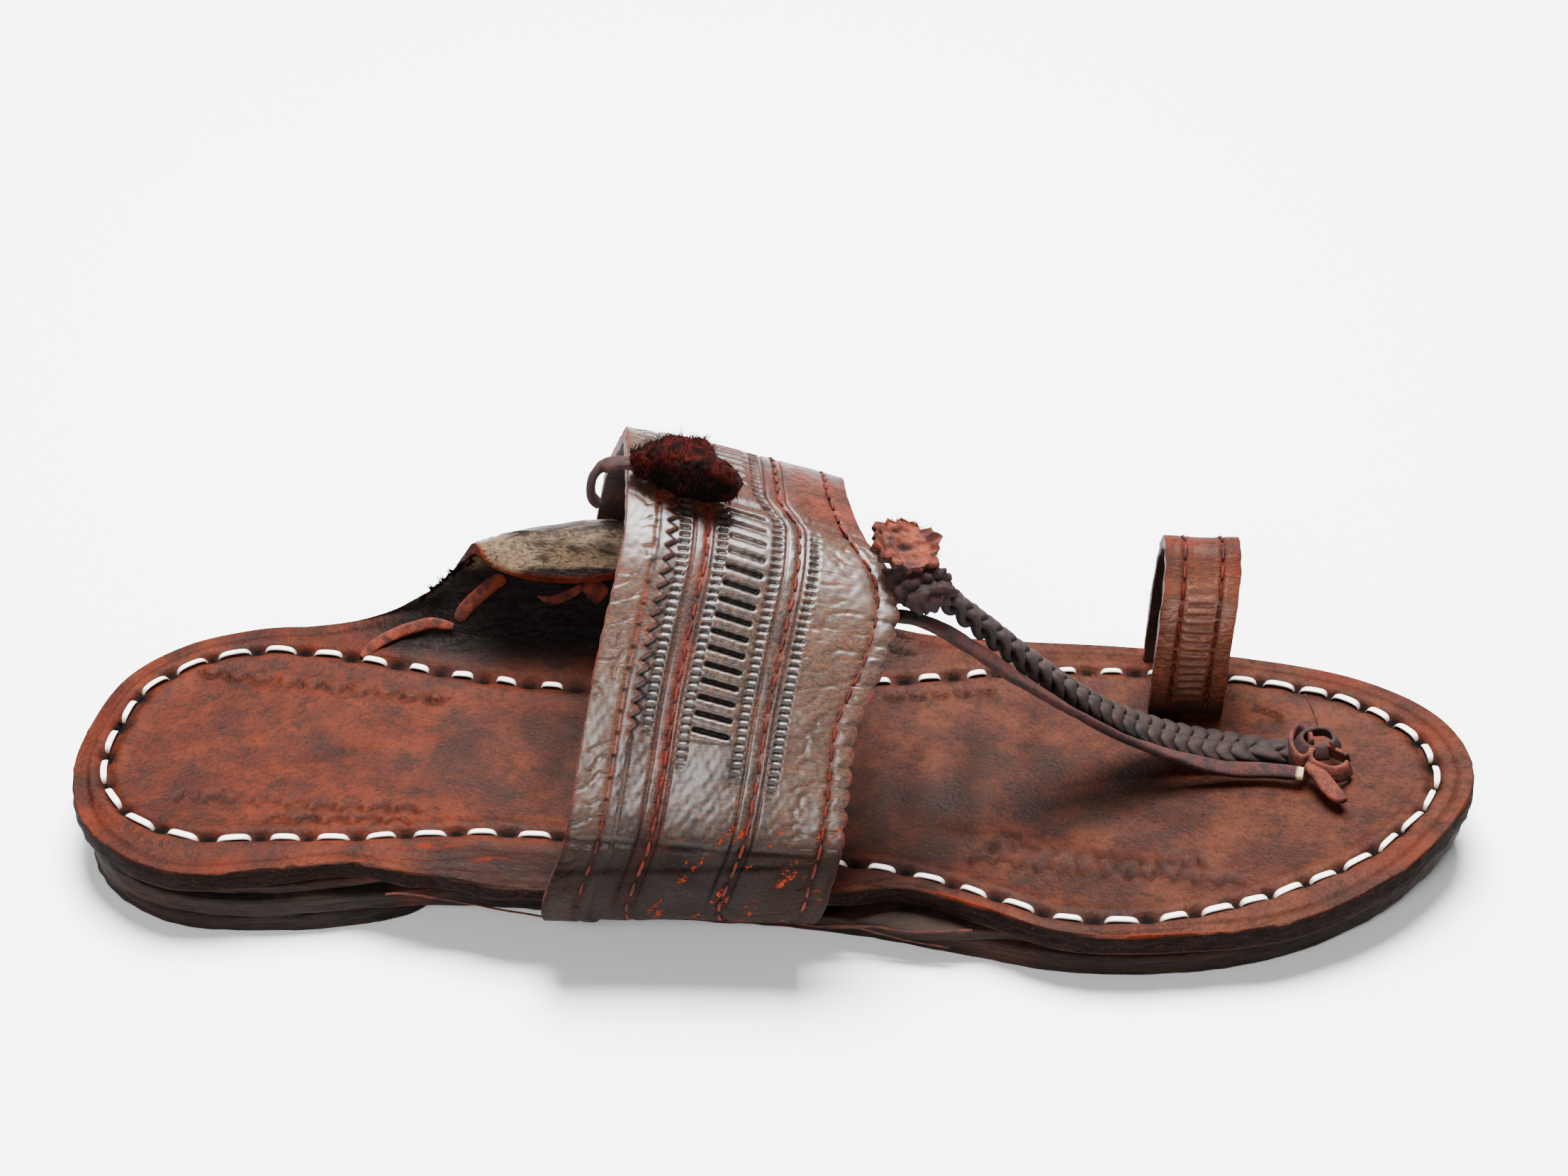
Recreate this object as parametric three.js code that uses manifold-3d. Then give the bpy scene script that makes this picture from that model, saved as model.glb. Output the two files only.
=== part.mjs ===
// A kolhapuri sandal for the right foot: flat leather plies sewn into a sole, whose seat has two side
// wings, a broad instep strap over the wings, a toe loop, and a braid from the strap to a toe knot.
// Millimetres, +Z up, the toe towards +X, the big-toe side towards +Y, the floor at Z = 0.
import * as THREE from 'three';
import * as BufferGeometryUtils from 'three/addons/utils/BufferGeometryUtils.js';
import Module from 'manifold-3d';

const wasm = await Module();
wasm.setup();

// ---------------------------------------------------------------- driving sizes
const GAP = 0.3;                                     // air between pieces that lie on each other
const PLY = {                                        // thickness of each ply, at the heel and the ball
  lift: { heel: 3.6 },
  outsole: { heel: 3.8, ball: 4.4 },
  midsole: { heel: 1.8, ball: 2.1 },
  insole: { heel: 4.4, ball: 4.8 },
};
const LIFT_END = 76;                                 // the heel lift's front edge
const DESCENT = { from: 60, to: 118 };               // where the sole comes down off the lift
const SPRING = { from: 215, to: 267, rise: 5.5 };    // toe spring
const SEAT_DISH = 0.9;                               // how far the seat's middle is trodden in
const WING_BEND = 13;                                // leather used up by a wing's bend
const FLAP_BEND = 7;                                 // leather used up where the wing's top folds in
const FLAP_TURN = 0.93 * Math.PI;                    // how far round that fold goes
const LEAST_FLAP = 0.1;                              // a flap shorter than this is none
const STRAP_THICK = 2.6;
const STRAP_SWELL = 1.2;                             // how far the strap bulges between its two edges
const LOOP_THICK = 2.4;
const LOOP_WIDTH = 14;
const WELD = 1e-4;                                   // points this near each other are one point
const PAIRS = { insole: 43, sole: 36, lift: 22 };    // pairs of samples down each outline's two sides

// ---------------------------------------------------------------- curves through tables
const mix = (a, b, t) => a + (b - a) * t;
const clamp = (value, low, high) => Math.min(high, Math.max(low, value));
const radians = (degrees) => degrees * Math.PI / 180;

function smoothstep(low, high, value) {
  const t = clamp((value - low) / (high - low), 0, 1);
  return t * t * (3 - 2 * t);
}

// A smooth curve through a table's rows. Every column is a coordinate of it, and t runs from 0 to 1.
function through(rows, t, closed = false) {
  const spans = closed ? rows.length : rows.length - 1;
  const place = closed ? t * spans : clamp(t, 0, 1) * spans;
  const first = closed ? Math.floor(place) : Math.min(Math.floor(place), spans - 1);
  const u = place - first;
  const row = (index) => closed
    ? rows[(index + rows.length) % rows.length]
    : rows[clamp(index, 0, rows.length - 1)];
  const [r0, r1, r2, r3] = [row(first - 1), row(first), row(first + 1), row(first + 2)];
  const point = {};
  for (const key of Object.keys(r1)) {
    const [a, b, c, d] = [r0[key], r1[key], r2[key], r3[key]];
    point[key] = 0.5 * (2 * b + (c - a) * u + (2 * a - 5 * b + 4 * c - d) * u * u
      + (3 * b - a - 3 * c + d) * u * u * u);
  }
  return point;
}

// ---------------------------------------------------------------- closed meshes from rings
// Joins rings of points, all with the same count, into one closed body. Its ends are capped, or the
// last ring meets the first. Rings that fall together, wholly or in part, leave no face between them.
function loft(rings, wrap = false) {
  const count = rings[0].length;
  const positions = rings.flat().flatMap((p) => [p.x, p.y, p.z]);
  const faces = [];
  const bands = wrap ? rings.length : rings.length - 1;
  for (let r = 0; r < bands; r++) {
    const near = r * count;
    const far = ((r + 1) % rings.length) * count;
    for (let i = 0; i < count; i++) {
      const j = (i + 1) % count;
      faces.push([near + i, near + j, far + j], [near + i, far + j, far + i]);
    }
  }
  if (!wrap) {
    const last = (rings.length - 1) * count;
    faces.push(...cap(rings[0]).map(([a, b, c]) => [c, b, a]));
    faces.push(...cap(rings.at(-1)).map(([a, b, c]) => [last + a, last + b, last + c]));
  }
  const loose = new THREE.BufferGeometry();
  loose.setAttribute('position', new THREE.Float32BufferAttribute(positions, 3));
  loose.setIndex(faces.flat());
  const welded = BufferGeometryUtils.mergeVertices(loose, WELD);
  const kept = [];
  for (let i = 0; i < welded.index.count; i += 3) {
    const [a, b, c] = welded.index.array.slice(i, i + 3);
    if (a !== b && b !== c && c !== a) kept.push(a, b, c);
  }
  welded.setIndex(kept);
  return outward(welded);
}

// Triangles across a flat or nearly flat ring, turned the way the ring runs.
function cap(ring) {
  const normal = new THREE.Vector3();
  ring.forEach((p, i) => normal.add(new THREE.Vector3().crossVectors(p, ring[(i + 1) % ring.length])));
  if (normal.length() < WELD) return [];
  normal.normalize();
  const across = Math.abs(normal.z) < 0.9 ? new THREE.Vector3(0, 0, 1) : new THREE.Vector3(1, 0, 0);
  const side = new THREE.Vector3().crossVectors(across, normal).normalize();
  const up = new THREE.Vector3().crossVectors(normal, side);
  const flat = ring.map((p) => new THREE.Vector2(p.dot(side), p.dot(up)));
  return THREE.ShapeUtils.triangulateShape(flat, []);
}

// Turns every face over if the body is inside out.
function outward(geometry) {
  const index = geometry.index.array;
  const at = (i) => new THREE.Vector3().fromBufferAttribute(geometry.attributes.position, index[i]);
  let volume = 0;
  for (let i = 0; i < index.length; i += 3) {
    volume += at(i).dot(new THREE.Vector3().crossVectors(at(i + 1), at(i + 2)));
  }
  if (volume < 0) {
    for (let i = 0; i < index.length; i += 3) [index[i], index[i + 1]] = [index[i + 1], index[i]];
  }
  return geometry;
}

function solid(geometry) {
  const bare = BufferGeometryUtils.mergeVertices(geometry, WELD);
  return new wasm.Manifold(new wasm.Mesh({
    numProp: 3,
    vertProperties: new Float32Array(bare.attributes.position.array),
    triVerts: new Uint32Array(bare.index.array),
  }));
}

// Joins closed bodies that run into each other.
function joined(geometries) {
  const whole = geometries.map(solid).reduce((sum, next) => sum.add(next));
  const mesh = whole.getMesh();
  const geometry = new THREE.BufferGeometry();
  geometry.setAttribute('position', new THREE.Float32BufferAttribute(mesh.vertProperties, 3));
  geometry.setIndex([...mesh.triVerts]);
  return geometry;
}

// ---------------------------------------------------------------- the sole's heights
const ballward = (x) => smoothstep(DESCENT.from, DESCENT.to, x);
const toeSpring = (x) => SPRING.rise * Math.max(0, (x - SPRING.from) / (SPRING.to - SPRING.from)) ** 2;
const thickness = (ply, x) => mix(ply.heel, ply.ball, ballward(x));
const outsoleUnder = (x) => mix(PLY.lift.heel + GAP, 0, ballward(x)) + toeSpring(x);
const midsoleUnder = (x) => outsoleUnder(x) + thickness(PLY.outsole, x) + GAP;
const insoleUnder = (x) => midsoleUnder(x) + thickness(PLY.midsole, x) + GAP;
const seatTop = (x) => insoleUnder(x) + thickness(PLY.insole, x);

// ---------------------------------------------------------------- the seat and its wings
// The seam that sews the plies together, round from the heel's back by the big-toe side: the seat's
// margin outside it, how far that margin turns up, and its edge's thickness. flap is the length of
// leather that folds back in at the top of the wing.
const SEAM = [
  { x: 9, y: 4, margin: 5.4, turn: 0, edge: 4.2, flap: 0 },
  { x: 12.8, y: 20, margin: 5.8, turn: 0, edge: 4.2, flap: 0 },
  { x: 21.5, y: 29.4, margin: 6.4, turn: 0, edge: 4.2, flap: 0 },
  { x: 33, y: 33.6, margin: 7, turn: 4, edge: 4, flap: 0 },
  { x: 42, y: 33.4, margin: 8, turn: 14, edge: 3.4, flap: 0 },
  { x: 52, y: 31.6, margin: 11.2, turn: 32, edge: 2.8, flap: 0 },
  { x: 62, y: 29.2, margin: 16.8, turn: 50, edge: 2.5, flap: 0 },
  { x: 71, y: 27.4, margin: 22.4, turn: 62, edge: 2.4, flap: 3 },
  { x: 80, y: 26.2, margin: 26.4, turn: 66, edge: 2.4, flap: 10 },
  { x: 91, y: 25.6, margin: 29.6, turn: 68, edge: 2.4, flap: 14 },
  { x: 104, y: 25.6, margin: 31, turn: 70, edge: 2.4, flap: 13 },
  { x: 118, y: 26.2, margin: 30, turn: 70, edge: 2.4, flap: 4 },
  { x: 132, y: 27.6, margin: 23, turn: 67, edge: 2.4, flap: 0 },
  { x: 146, y: 29.4, margin: 16.4, turn: 56, edge: 2.6, flap: 0 },
  { x: 162, y: 31.8, margin: 12.4, turn: 28, edge: 3.2, flap: 0 },
  { x: 182, y: 34.8, margin: 9.4, turn: 10, edge: 4, flap: 0 },
  { x: 204, y: 35.2, margin: 8.4, turn: 0, edge: 4.4, flap: 0 },
  { x: 226, y: 33, margin: 7.2, turn: 0, edge: 4.4, flap: 0 },
  { x: 243, y: 26.4, margin: 6.8, turn: 0, edge: 4.4, flap: 0 },
  { x: 254.6, y: 14.6, margin: 7, turn: 0, edge: 4.4, flap: 0 },
  { x: 258.9, y: 1, margin: 6.8, turn: 0, edge: 4.4, flap: 0 },
  { x: 254.6, y: -10.6, margin: 7, turn: 0, edge: 4.4, flap: 0 },
  { x: 243.6, y: -21.8, margin: 7.8, turn: 0, edge: 4.4, flap: 0 },
  { x: 227, y: -31, margin: 8.6, turn: 0, edge: 4.4, flap: 0 },
  { x: 208, y: -37.8, margin: 5.4, turn: 0, edge: 4.4, flap: 0 },
  { x: 190, y: -39, margin: 4.4, turn: 0, edge: 4.4, flap: 0 },
  { x: 175, y: -33, margin: 4, turn: 4, edge: 4.2, flap: 0 },
  { x: 160, y: -27, margin: 5, turn: 12, edge: 3.6, flap: 0 },
  { x: 146, y: -24.6, margin: 12, turn: 24, edge: 2.8, flap: 0 },
  { x: 132, y: -22.8, margin: 17.6, turn: 28, edge: 2.4, flap: 0 },
  { x: 116, y: -21, margin: 19.8, turn: 24, edge: 2.4, flap: 0 },
  { x: 100, y: -20, margin: 20.4, turn: 18, edge: 2.4, flap: 0 },
  { x: 84, y: -20, margin: 18.6, turn: 11, edge: 2.4, flap: 0 },
  { x: 70, y: -22, margin: 13, turn: 8, edge: 2.8, flap: 0 },
  { x: 58, y: -23.4, margin: 7.8, turn: 6, edge: 3.4, flap: 0 },
  { x: 44, y: -24, margin: 9.2, turn: 0, edge: 4, flap: 0 },
  { x: 29, y: -24.2, margin: 10.8, turn: 0, edge: 4.2, flap: 0 },
  { x: 17, y: -18.6, margin: 8.4, turn: 0, edge: 4.2, flap: 0 },
  { x: 10.2, y: -8, margin: 6.2, turn: 0, edge: 4.2, flap: 0 },
];

// A point of an outline with the direction that leaves it squarely, seen from above.
function outlineAt(rows, t) {
  const step = 0.002;
  const ahead = through(rows, (t + step) % 1, true);
  const behind = through(rows, (t - step + 1) % 1, true);
  const length = Math.hypot(ahead.x - behind.x, ahead.y - behind.y);
  return {
    ...through(rows, t % 1, true),
    out: { x: -(ahead.y - behind.y) / length, y: (ahead.x - behind.x) / length },
  };
}

// Samples an outline down both sides, from the heel's back to the toe's tip, so that each sample of one
// side has its pair at the same x on the other. They close up towards the ends, where the outline turns.
function paired(rows, count) {
  const scans = 720;
  const halvings = 40;
  const scan = Array.from({ length: scans }, (_, i) => {
    const t = i / scans;
    return { t, x: through(rows, t, true).x };
  });
  const heel = scan.reduce((best, next) => next.x < best.x ? next : best);
  const toe = scan.reduce((best, next) => next.x > best.x ? next : best);
  const heelT = heel.t > 0.5 ? heel.t - 1 : heel.t;
  const find = (x, low, high) => {
    for (let i = 0; i < halvings; i++) {
      const middle = (low + high) / 2;
      if (through(rows, (middle + 1) % 1, true).x < x) low = middle;
      else high = middle;
    }
    return outlineAt(rows, (low + 1) % 1);
  };
  return Array.from({ length: count + 1 }, (_, i) => {
    const x = mix(heel.x, toe.x, (1 - Math.cos(Math.PI * i / count)) / 2);
    if (i === 0) return [outlineAt(rows, (heelT + 1) % 1), outlineAt(rows, (heelT + 1) % 1)];
    if (i === count) return [outlineAt(rows, toe.t), outlineAt(rows, toe.t)];
    return [find(x, heelT, toe.t), find(x, heelT + 1, toe.t)];
  });
}

// A ring around paired samples, up one side and back down the other. place(sample, other) gives a point.
function ringOf(pairs, place) {
  return [
    ...pairs.map(([inner, outer]) => place(inner, outer)),
    ...pairs.map(([inner, outer]) => place(outer, inner)).reverse(),
  ];
}

// How far out and up a margin's leather reaches, at a length along it from the seam.
function marginPath(seam, length) {
  const steps = 16;
  const turn = radians(seam.turn);
  const path = { reach: 0, rise: 0, angle: 0 };
  for (let i = 0; i < steps; i++) {
    const s = length * (i + 0.5) / steps;
    path.angle = turn * Math.min(1, s / WING_BEND)
      + FLAP_TURN * clamp((s - seam.margin) / FLAP_BEND, 0, 1);
    path.reach += Math.cos(path.angle) * length / steps;
    path.rise += Math.sin(path.angle) * length / steps;
  }
  return path;
}

function insole() {
  const pairs = paired(SEAM, PAIRS.insole);
  const top = [];
  const under = [];
  for (const share of [0, 0.5, 0.85, 1]) {
    const dish = SEAT_DISH * (1 - share ** 3);
    const ring = (height) => ringOf(pairs, (here, other) => {
      const x = mix((here.x + other.x) / 2, here.x, share);
      return new THREE.Vector3(x, mix((here.y + other.y) / 2, here.y, share), height(x));
    });
    top.push(ring((x) => seatTop(x) - dish));
    under.push(ring(insoleUnder));
  }
  const marginShares = [[0.3, 0], [0.6, 0], [1, 0], [1, 0.4], [1, 1]];
  for (const [marginShare, flapShare] of marginShares) {
    const leather = (seam) => {
      const flap = seam.flap < LEAST_FLAP ? 0 : seam.flap;
      const length = marginShare * seam.margin + flapShare * flap;
      const path = marginPath(seam, length);
      const full = thickness(PLY.insole, seam.x);
      const thick = mix(full, Math.min(full, seam.edge), clamp(2 * length / seam.margin, 0, 1));
      return { seam, path, thick };
    };
    const point = (seam, reach, rise) => new THREE.Vector3(
      seam.x + seam.out.x * reach, seam.y + seam.out.y * reach,
      seatTop(seam.x) + toeSpring(seam.x + seam.out.x * reach) - toeSpring(seam.x) + rise,
    );
    top.push(ringOf(pairs, (here) => {
      const { seam, path } = leather(here);
      return point(seam, path.reach, path.rise);
    }));
    under.push(ringOf(pairs, (here) => {
      const { seam, path, thick } = leather(here);
      const [out, down] = [thick * Math.sin(path.angle), thick * Math.cos(path.angle)];
      return point(seam, path.reach + out, path.rise - down);
    }));
  }
  return loft([...top, ...under.reverse()]);
}

// ---------------------------------------------------------------- the flat plies under the seat
// Edge of the outsole and the midsole, round from the heel's back by the big-toe side.
const PLY_EDGE = [
  { x: 4, y: 3 }, { x: 7.4, y: 18.6 }, { x: 16, y: 31.6 }, { x: 31, y: 38.6 }, { x: 46, y: 38.8 },
  { x: 62, y: 35.4 }, { x: 80, y: 31.8 }, { x: 100, y: 30 }, { x: 122, y: 30.6 }, { x: 144, y: 33.4 },
  { x: 166, y: 38 }, { x: 188, y: 41.8 }, { x: 208, y: 41.8 }, { x: 227, y: 38.6 },
  { x: 245.6, y: 30.4 }, { x: 259, y: 16.6 }, { x: 264.4, y: 0 }, { x: 259, y: -12.8 },
  { x: 246.6, y: -25.6 }, { x: 229, y: -35.4 },
  { x: 209, y: -40.6 }, { x: 189, y: -40.8 }, { x: 170, y: -36.6 }, { x: 150, y: -31.8 }, { x: 126, y: -29 },
  { x: 102, y: -28.4 }, { x: 80, y: -29.2 }, { x: 61, y: -32 }, { x: 42, y: -34.6 }, { x: 26, y: -33 },
  { x: 13.6, y: -25.4 }, { x: 6.6, y: -12.4 },
];

// A flat ply between two height functions. Its edge is drawn in by inset and rounded by bevel.
function ply(rows, count, under, over, bevel, inset = () => 0) {
  const pairs = paired(rows, count);
  const edge = (here, back) => {
    const drawn = inset(here) + back;
    return { x: here.x - here.out.x * drawn, y: here.y - here.out.y * drawn };
  };
  const ring = (share, back, height) => ringOf(pairs, (here, other) => {
    const [near, far] = [edge(here, back), edge(other, back)];
    const x = mix((near.x + far.x) / 2, near.x, share);
    return new THREE.Vector3(x, mix((near.y + far.y) / 2, near.y, share), height(x));
  });
  return loft([
    ring(0, bevel, over), ring(1, bevel, over), ring(1, 0, (x) => over(x) - bevel),
    ring(1, 0, (x) => under(x) + bevel), ring(1, bevel, under), ring(0, bevel, under),
  ]);
}

const outsole = () => ply(PLY_EDGE, PAIRS.sole, outsoleUnder, (x) => midsoleUnder(x) - GAP, 0.5);

// The thin ply is drawn in all round, but reaches past the outsole under the strap's outer end.
function midsole() {
  const back = 1.6;
  const waist = { from: 70, to: 182, ramp: 22, reach: 5 };
  const inset = (here) => {
    const within = smoothstep(waist.from, waist.from + waist.ramp, here.x)
      * (1 - smoothstep(waist.to - waist.ramp, waist.to, here.x));
    return back - (here.y < 0 ? within * waist.reach : 0);
  };
  return ply(PLY_EDGE, PAIRS.sole, midsoleUnder, (x) => insoleUnder(x) - GAP, 0.2, inset);
}

const LIFT_EDGE = [
  { x: 4.4, y: 3 }, { x: 7.8, y: 18.4 }, { x: 16.4, y: 31.2 }, { x: 31, y: 38 }, { x: 46, y: 38.2 },
  { x: 62, y: 34.8 }, { x: 72, y: 29 }, { x: LIFT_END - 0.6, y: 17 }, { x: LIFT_END, y: 2 },
  { x: LIFT_END - 0.6, y: -14 }, { x: 71.4, y: -26 }, { x: 61, y: -31.6 }, { x: 42, y: -34.2 },
  { x: 26, y: -32.6 }, { x: 14, y: -25 }, { x: 7, y: -12.2 },
];

const heelLift = () => ply(LIFT_EDGE, PAIRS.lift, () => 0, (x) => outsoleUnder(x) - GAP, 0.5);

// ---------------------------------------------------------------- straps
// Turns a sheet, the surface that faces the foot, into a body of one thickness. at(u, v) gives its
// points, with u along the strap and v across it.
function sheetBody(at, alongSteps, acrossSteps, thick) {
  const step = 1e-3;
  const face = (u, v) => {
    const along = at(clamp(u + step, 0, 1), v).sub(at(clamp(u - step, 0, 1), v));
    const across = at(u, clamp(v + step, 0, 1)).sub(at(u, clamp(v - step, 0, 1)));
    return along.cross(across).normalize();
  };
  const rings = [];
  for (let i = 0; i <= alongSteps; i++) {
    const u = i / alongSteps;
    const ring = [];
    for (let j = 0; j <= acrossSteps; j++) ring.push(at(u, j / acrossSteps));
    for (let j = acrossSteps; j >= 0; j--) {
      ring.push(at(u, j / acrossSteps).addScaledVector(face(u, j / acrossSteps), -thick));
    }
    rings.push(ring);
  }
  return loft(rings);
}

// The instep strap's inner face, from its tucked end under the outer wing, over the foot, to its end
// outside the inner wing: y, then the back and the front edge's x and z.
const STRAP = [
  { y: -33.6, backX: 98, backZ: 10.9, frontX: 142, frontZ: 9.8 },
  { y: -38.4, backX: 96.6, backZ: 12.3, frontX: 143.4, frontZ: 12 },
  { y: -41.8, backX: 95.2, backZ: 15.4, frontX: 145.2, frontZ: 16.8 },
  { y: -42.8, backX: 96.8, backZ: 21.6, frontX: 146.6, frontZ: 22.4 },
  { y: -40.8, backX: 99.8, backZ: 29.6, frontX: 148.6, frontZ: 28.6 },
  { y: -35, backX: 101.8, backZ: 39.4, frontX: 149.6, frontZ: 36 },
  { y: -27.2, backX: 103.6, backZ: 49.8, frontX: 150.8, frontZ: 44.4 },
  { y: -18.6, backX: 106, backZ: 60, frontX: 155.4, frontZ: 52 },
  { y: -8, backX: 108.4, backZ: 68.4, frontX: 157, frontZ: 58.4 },
  { y: 3.6, backX: 108.4, backZ: 73, frontX: 150.4, frontZ: 62.4 },
  { y: 14.6, backX: 107.4, backZ: 73, frontX: 147.4, frontZ: 62.6 },
  { y: 25, backX: 106.4, backZ: 69.6, frontX: 146.4, frontZ: 59.6 },
  { y: 34.6, backX: 104.8, backZ: 62, frontX: 145.6, frontZ: 53.4 },
  { y: 42.2, backX: 101.6, backZ: 51.6, frontX: 144.8, frontZ: 45 },
  { y: 45.9, backX: 99.2, backZ: 40.4, frontX: 144.2, frontZ: 36 },
  { y: 45.6, backX: 97.4, backZ: 29.6, frontX: 144, frontZ: 27 },
  { y: 44.7, backX: 96.6, backZ: 20, frontX: 143.8, frontZ: 19 },
];

function instepStrap() {
  const at = (u, v) => {
    const row = through(STRAP, u);
    const overFoot = smoothstep(0.2, 0.5, u) * (1 - smoothstep(0.75, 1, u));
    const swell = STRAP_SWELL * Math.sin(Math.PI * v) * overFoot;
    return new THREE.Vector3(mix(row.backX, row.frontX, v), row.y, mix(row.backZ, row.frontZ, v) + swell);
  };
  return sheetBody(at, 52, 7, STRAP_THICK);
}

// The toe loop's inner face, from the seat on the small-toe side over to the big-toe side.
const LOOP = [
  { y: 24.2, z: 12.3, x: 206.8 },
  { y: 22.8, z: 20, x: 206.9 },
  { y: 22.2, z: 30.4, x: 207.3 },
  { y: 23.6, z: 39.4, x: 207.9 },
  { y: 28.6, z: 44.6, x: 208.3 },
  { y: 34, z: 42.2, x: 208.2 },
  { y: 37.4, z: 35, x: 207.8 },
  { y: 38.6, z: 24, x: 207.2 },
  { y: 38.2, z: 12.3, x: 206.8 },
];

function toeLoop() {
  const at = (u, v) => {
    const row = through(LOOP, u);
    return new THREE.Vector3(row.x + LOOP_WIDTH * v, row.y, row.z);
  };
  return sheetBody(at, 34, 3, LOOP_THICK);
}

// ---------------------------------------------------------------- cords, knots and trim
// A tube through a table of points, wide in the level direction and high across it.
function tube(rows, alongSteps, sides, closed = false) {
  const rings = [];
  const steps = closed ? alongSteps : alongSteps + 1;
  const up = new THREE.Vector3(0, 0, 1);
  const point = (t) => {
    const row = through(rows, closed ? (t + 1) % 1 : t, closed);
    return new THREE.Vector3(row.x, row.y, row.z);
  };
  for (let i = 0; i < steps; i++) {
    const t = i / alongSteps;
    const row = through(rows, t, closed);
    const step = 1e-3;
    const ahead = point(closed ? t + step : Math.min(1, t + step));
    const run = ahead.sub(point(closed ? t - step : Math.max(0, t - step))).normalize();
    const side = new THREE.Vector3().crossVectors(run, up).normalize();
    const over = new THREE.Vector3().crossVectors(side, run);
    const ring = [];
    for (let k = 0; k < sides; k++) {
      const angle = 2 * Math.PI * k / sides;
      ring.push(point(t).addScaledVector(side, Math.cos(angle) * row.wide / 2)
        .addScaledVector(over, Math.sin(angle) * row.high / 2));
    }
    rings.push(ring);
  }
  return loft(rings, closed);
}

const braid = () => tube([
  { x: 167.6, y: -4.2, z: 55.6, wide: 5, high: 4.6 },
  { x: 175, y: -1.8, z: 47.4, wide: 6, high: 5 },
  { x: 183.2, y: 1.2, z: 37.8, wide: 7, high: 5 },
  { x: 191.6, y: 4.2, z: 28.8, wide: 8, high: 4.8 },
  { x: 200, y: 6.6, z: 21.8, wide: 8.8, high: 4.6 },
  { x: 209.6, y: 8.2, z: 16.8, wide: 9.2, high: 4.6 },
  { x: 219, y: 8.8, z: 14.4, wide: 8.8, high: 4.2 },
  { x: 229, y: 8.2, z: 14.2, wide: 7, high: 3.6 },
], 26, 10);

const toeThong = () => tube([
  { x: 165.4, y: -8.8, z: 53.2, wide: 2.8, high: 2.8 },
  { x: 172.3, y: -7.2, z: 47, wide: 3, high: 3 },
  { x: 181.7, y: -4.8, z: 38, wide: 3.2, high: 3.2 },
  { x: 195.3, y: -1.4, z: 26.4, wide: 3.2, high: 3.2 },
  { x: 207, y: 1, z: 18.8, wide: 3.2, high: 3.2 },
  { x: 219, y: 2, z: 14.4, wide: 3.2, high: 3.2 },
  { x: 231, y: 1.2, z: 13.8, wide: 3, high: 3 },
], 24, 8);

// The knot at the toe: two flat loops of thong wound over each other, and a cut end.
function toeKnot() {
  const wind = (centre, radius, wide, high, tilt) => {
    const rows = Array.from({ length: 10 }, (_, i) => {
      const angle = 2 * Math.PI * i / 10;
      const [x, y] = [Math.cos(angle) * radius.x, Math.sin(angle) * radius.y];
      return { x: centre.x + x, y: centre.y + y, z: centre.z + x * tilt, wide, high };
    });
    return tube(rows, 16, 6, true);
  };
  const end = tube([
    { x: 235, y: 2, z: 15.8, wide: 3.6, high: 2.4 },
    { x: 238.2, y: -2.8, z: 15, wide: 3.6, high: 2.4 },
    { x: 240, y: -6.4, z: 14.4, wide: 3.4, high: 2.2 },
  ], 6, 6);
  return joined([
    wind({ x: 234.4, y: 7, z: 15 }, { x: 2.4, y: 4.2 }, 3.4, 3.6, 0.1),
    wind({ x: 238.8, y: 2.8, z: 15.6 }, { x: 4, y: 3.2 }, 3.2, 3.2, -0.15),
    wind({ x: 237.6, y: 6.8, z: 16.8 }, { x: 3.4, y: 2.6 }, 2.8, 2.6, 0.1),
    lump([236.4, 5.4, 15.4], [4.6, 4.2, 1.5], [1, 0, 0], [0, 0, 1]),
    end,
  ]);
}

// A lump drawn from its middle by three half-lengths along three square directions.
function lump(centre, half, run, rise) {
  const geometry = new THREE.SphereGeometry(1, 16, 10);
  geometry.deleteAttribute('normal');
  geometry.deleteAttribute('uv');
  const x = new THREE.Vector3(...run).normalize();
  const y = new THREE.Vector3(...rise).cross(x).normalize();
  const z = new THREE.Vector3().crossVectors(x, y);
  const basis = new THREE.Matrix4().makeBasis(x, y, z).setPosition(...centre);
  return BufferGeometryUtils.mergeVertices(geometry, WELD).scale(...half).applyMatrix4(basis);
}

// The rosette lies over the strap's front peak, a disc with a pinked edge on a small dark knot.
const ROSETTE = {
  centre: [158.6, -5, 68.6], face: [0.3, -0.34, 0.9],
  radius: 6.4, narrow: 0.86, teeth: 14, tooth: 0.9, thick: 1.8, cupped: 0.5, flat: 0.45,
};
const rosetteKnot = () => lump([162.6, -6.8, 60.6], [4.8, 4.6, 3.9], [1, 0.2, -0.3], [0, 0, 1]);

function rosette() {
  const points = ROSETTE.teeth * 2;
  const z = new THREE.Vector3(...ROSETTE.face).normalize();
  const x = new THREE.Vector3(0, 1, 0).cross(z).normalize();
  const y = new THREE.Vector3().crossVectors(z, x);
  const ring = (share, height) => Array.from({ length: points }, (_, i) => {
    const angle = 2 * Math.PI * i / points;
    const radius = share * (ROSETTE.radius - (i % 2) * ROSETTE.tooth);
    return new THREE.Vector3(...ROSETTE.centre)
      .addScaledVector(x, Math.cos(angle) * radius)
      .addScaledVector(y, Math.sin(angle) * radius * ROSETTE.narrow)
      .addScaledVector(z, height);
  });
  const { flat, cupped, thick } = ROSETTE;
  return loft([ring(flat, 0), ring(1, cupped), ring(1, cupped - thick), ring(flat, -thick)]);
}

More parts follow.
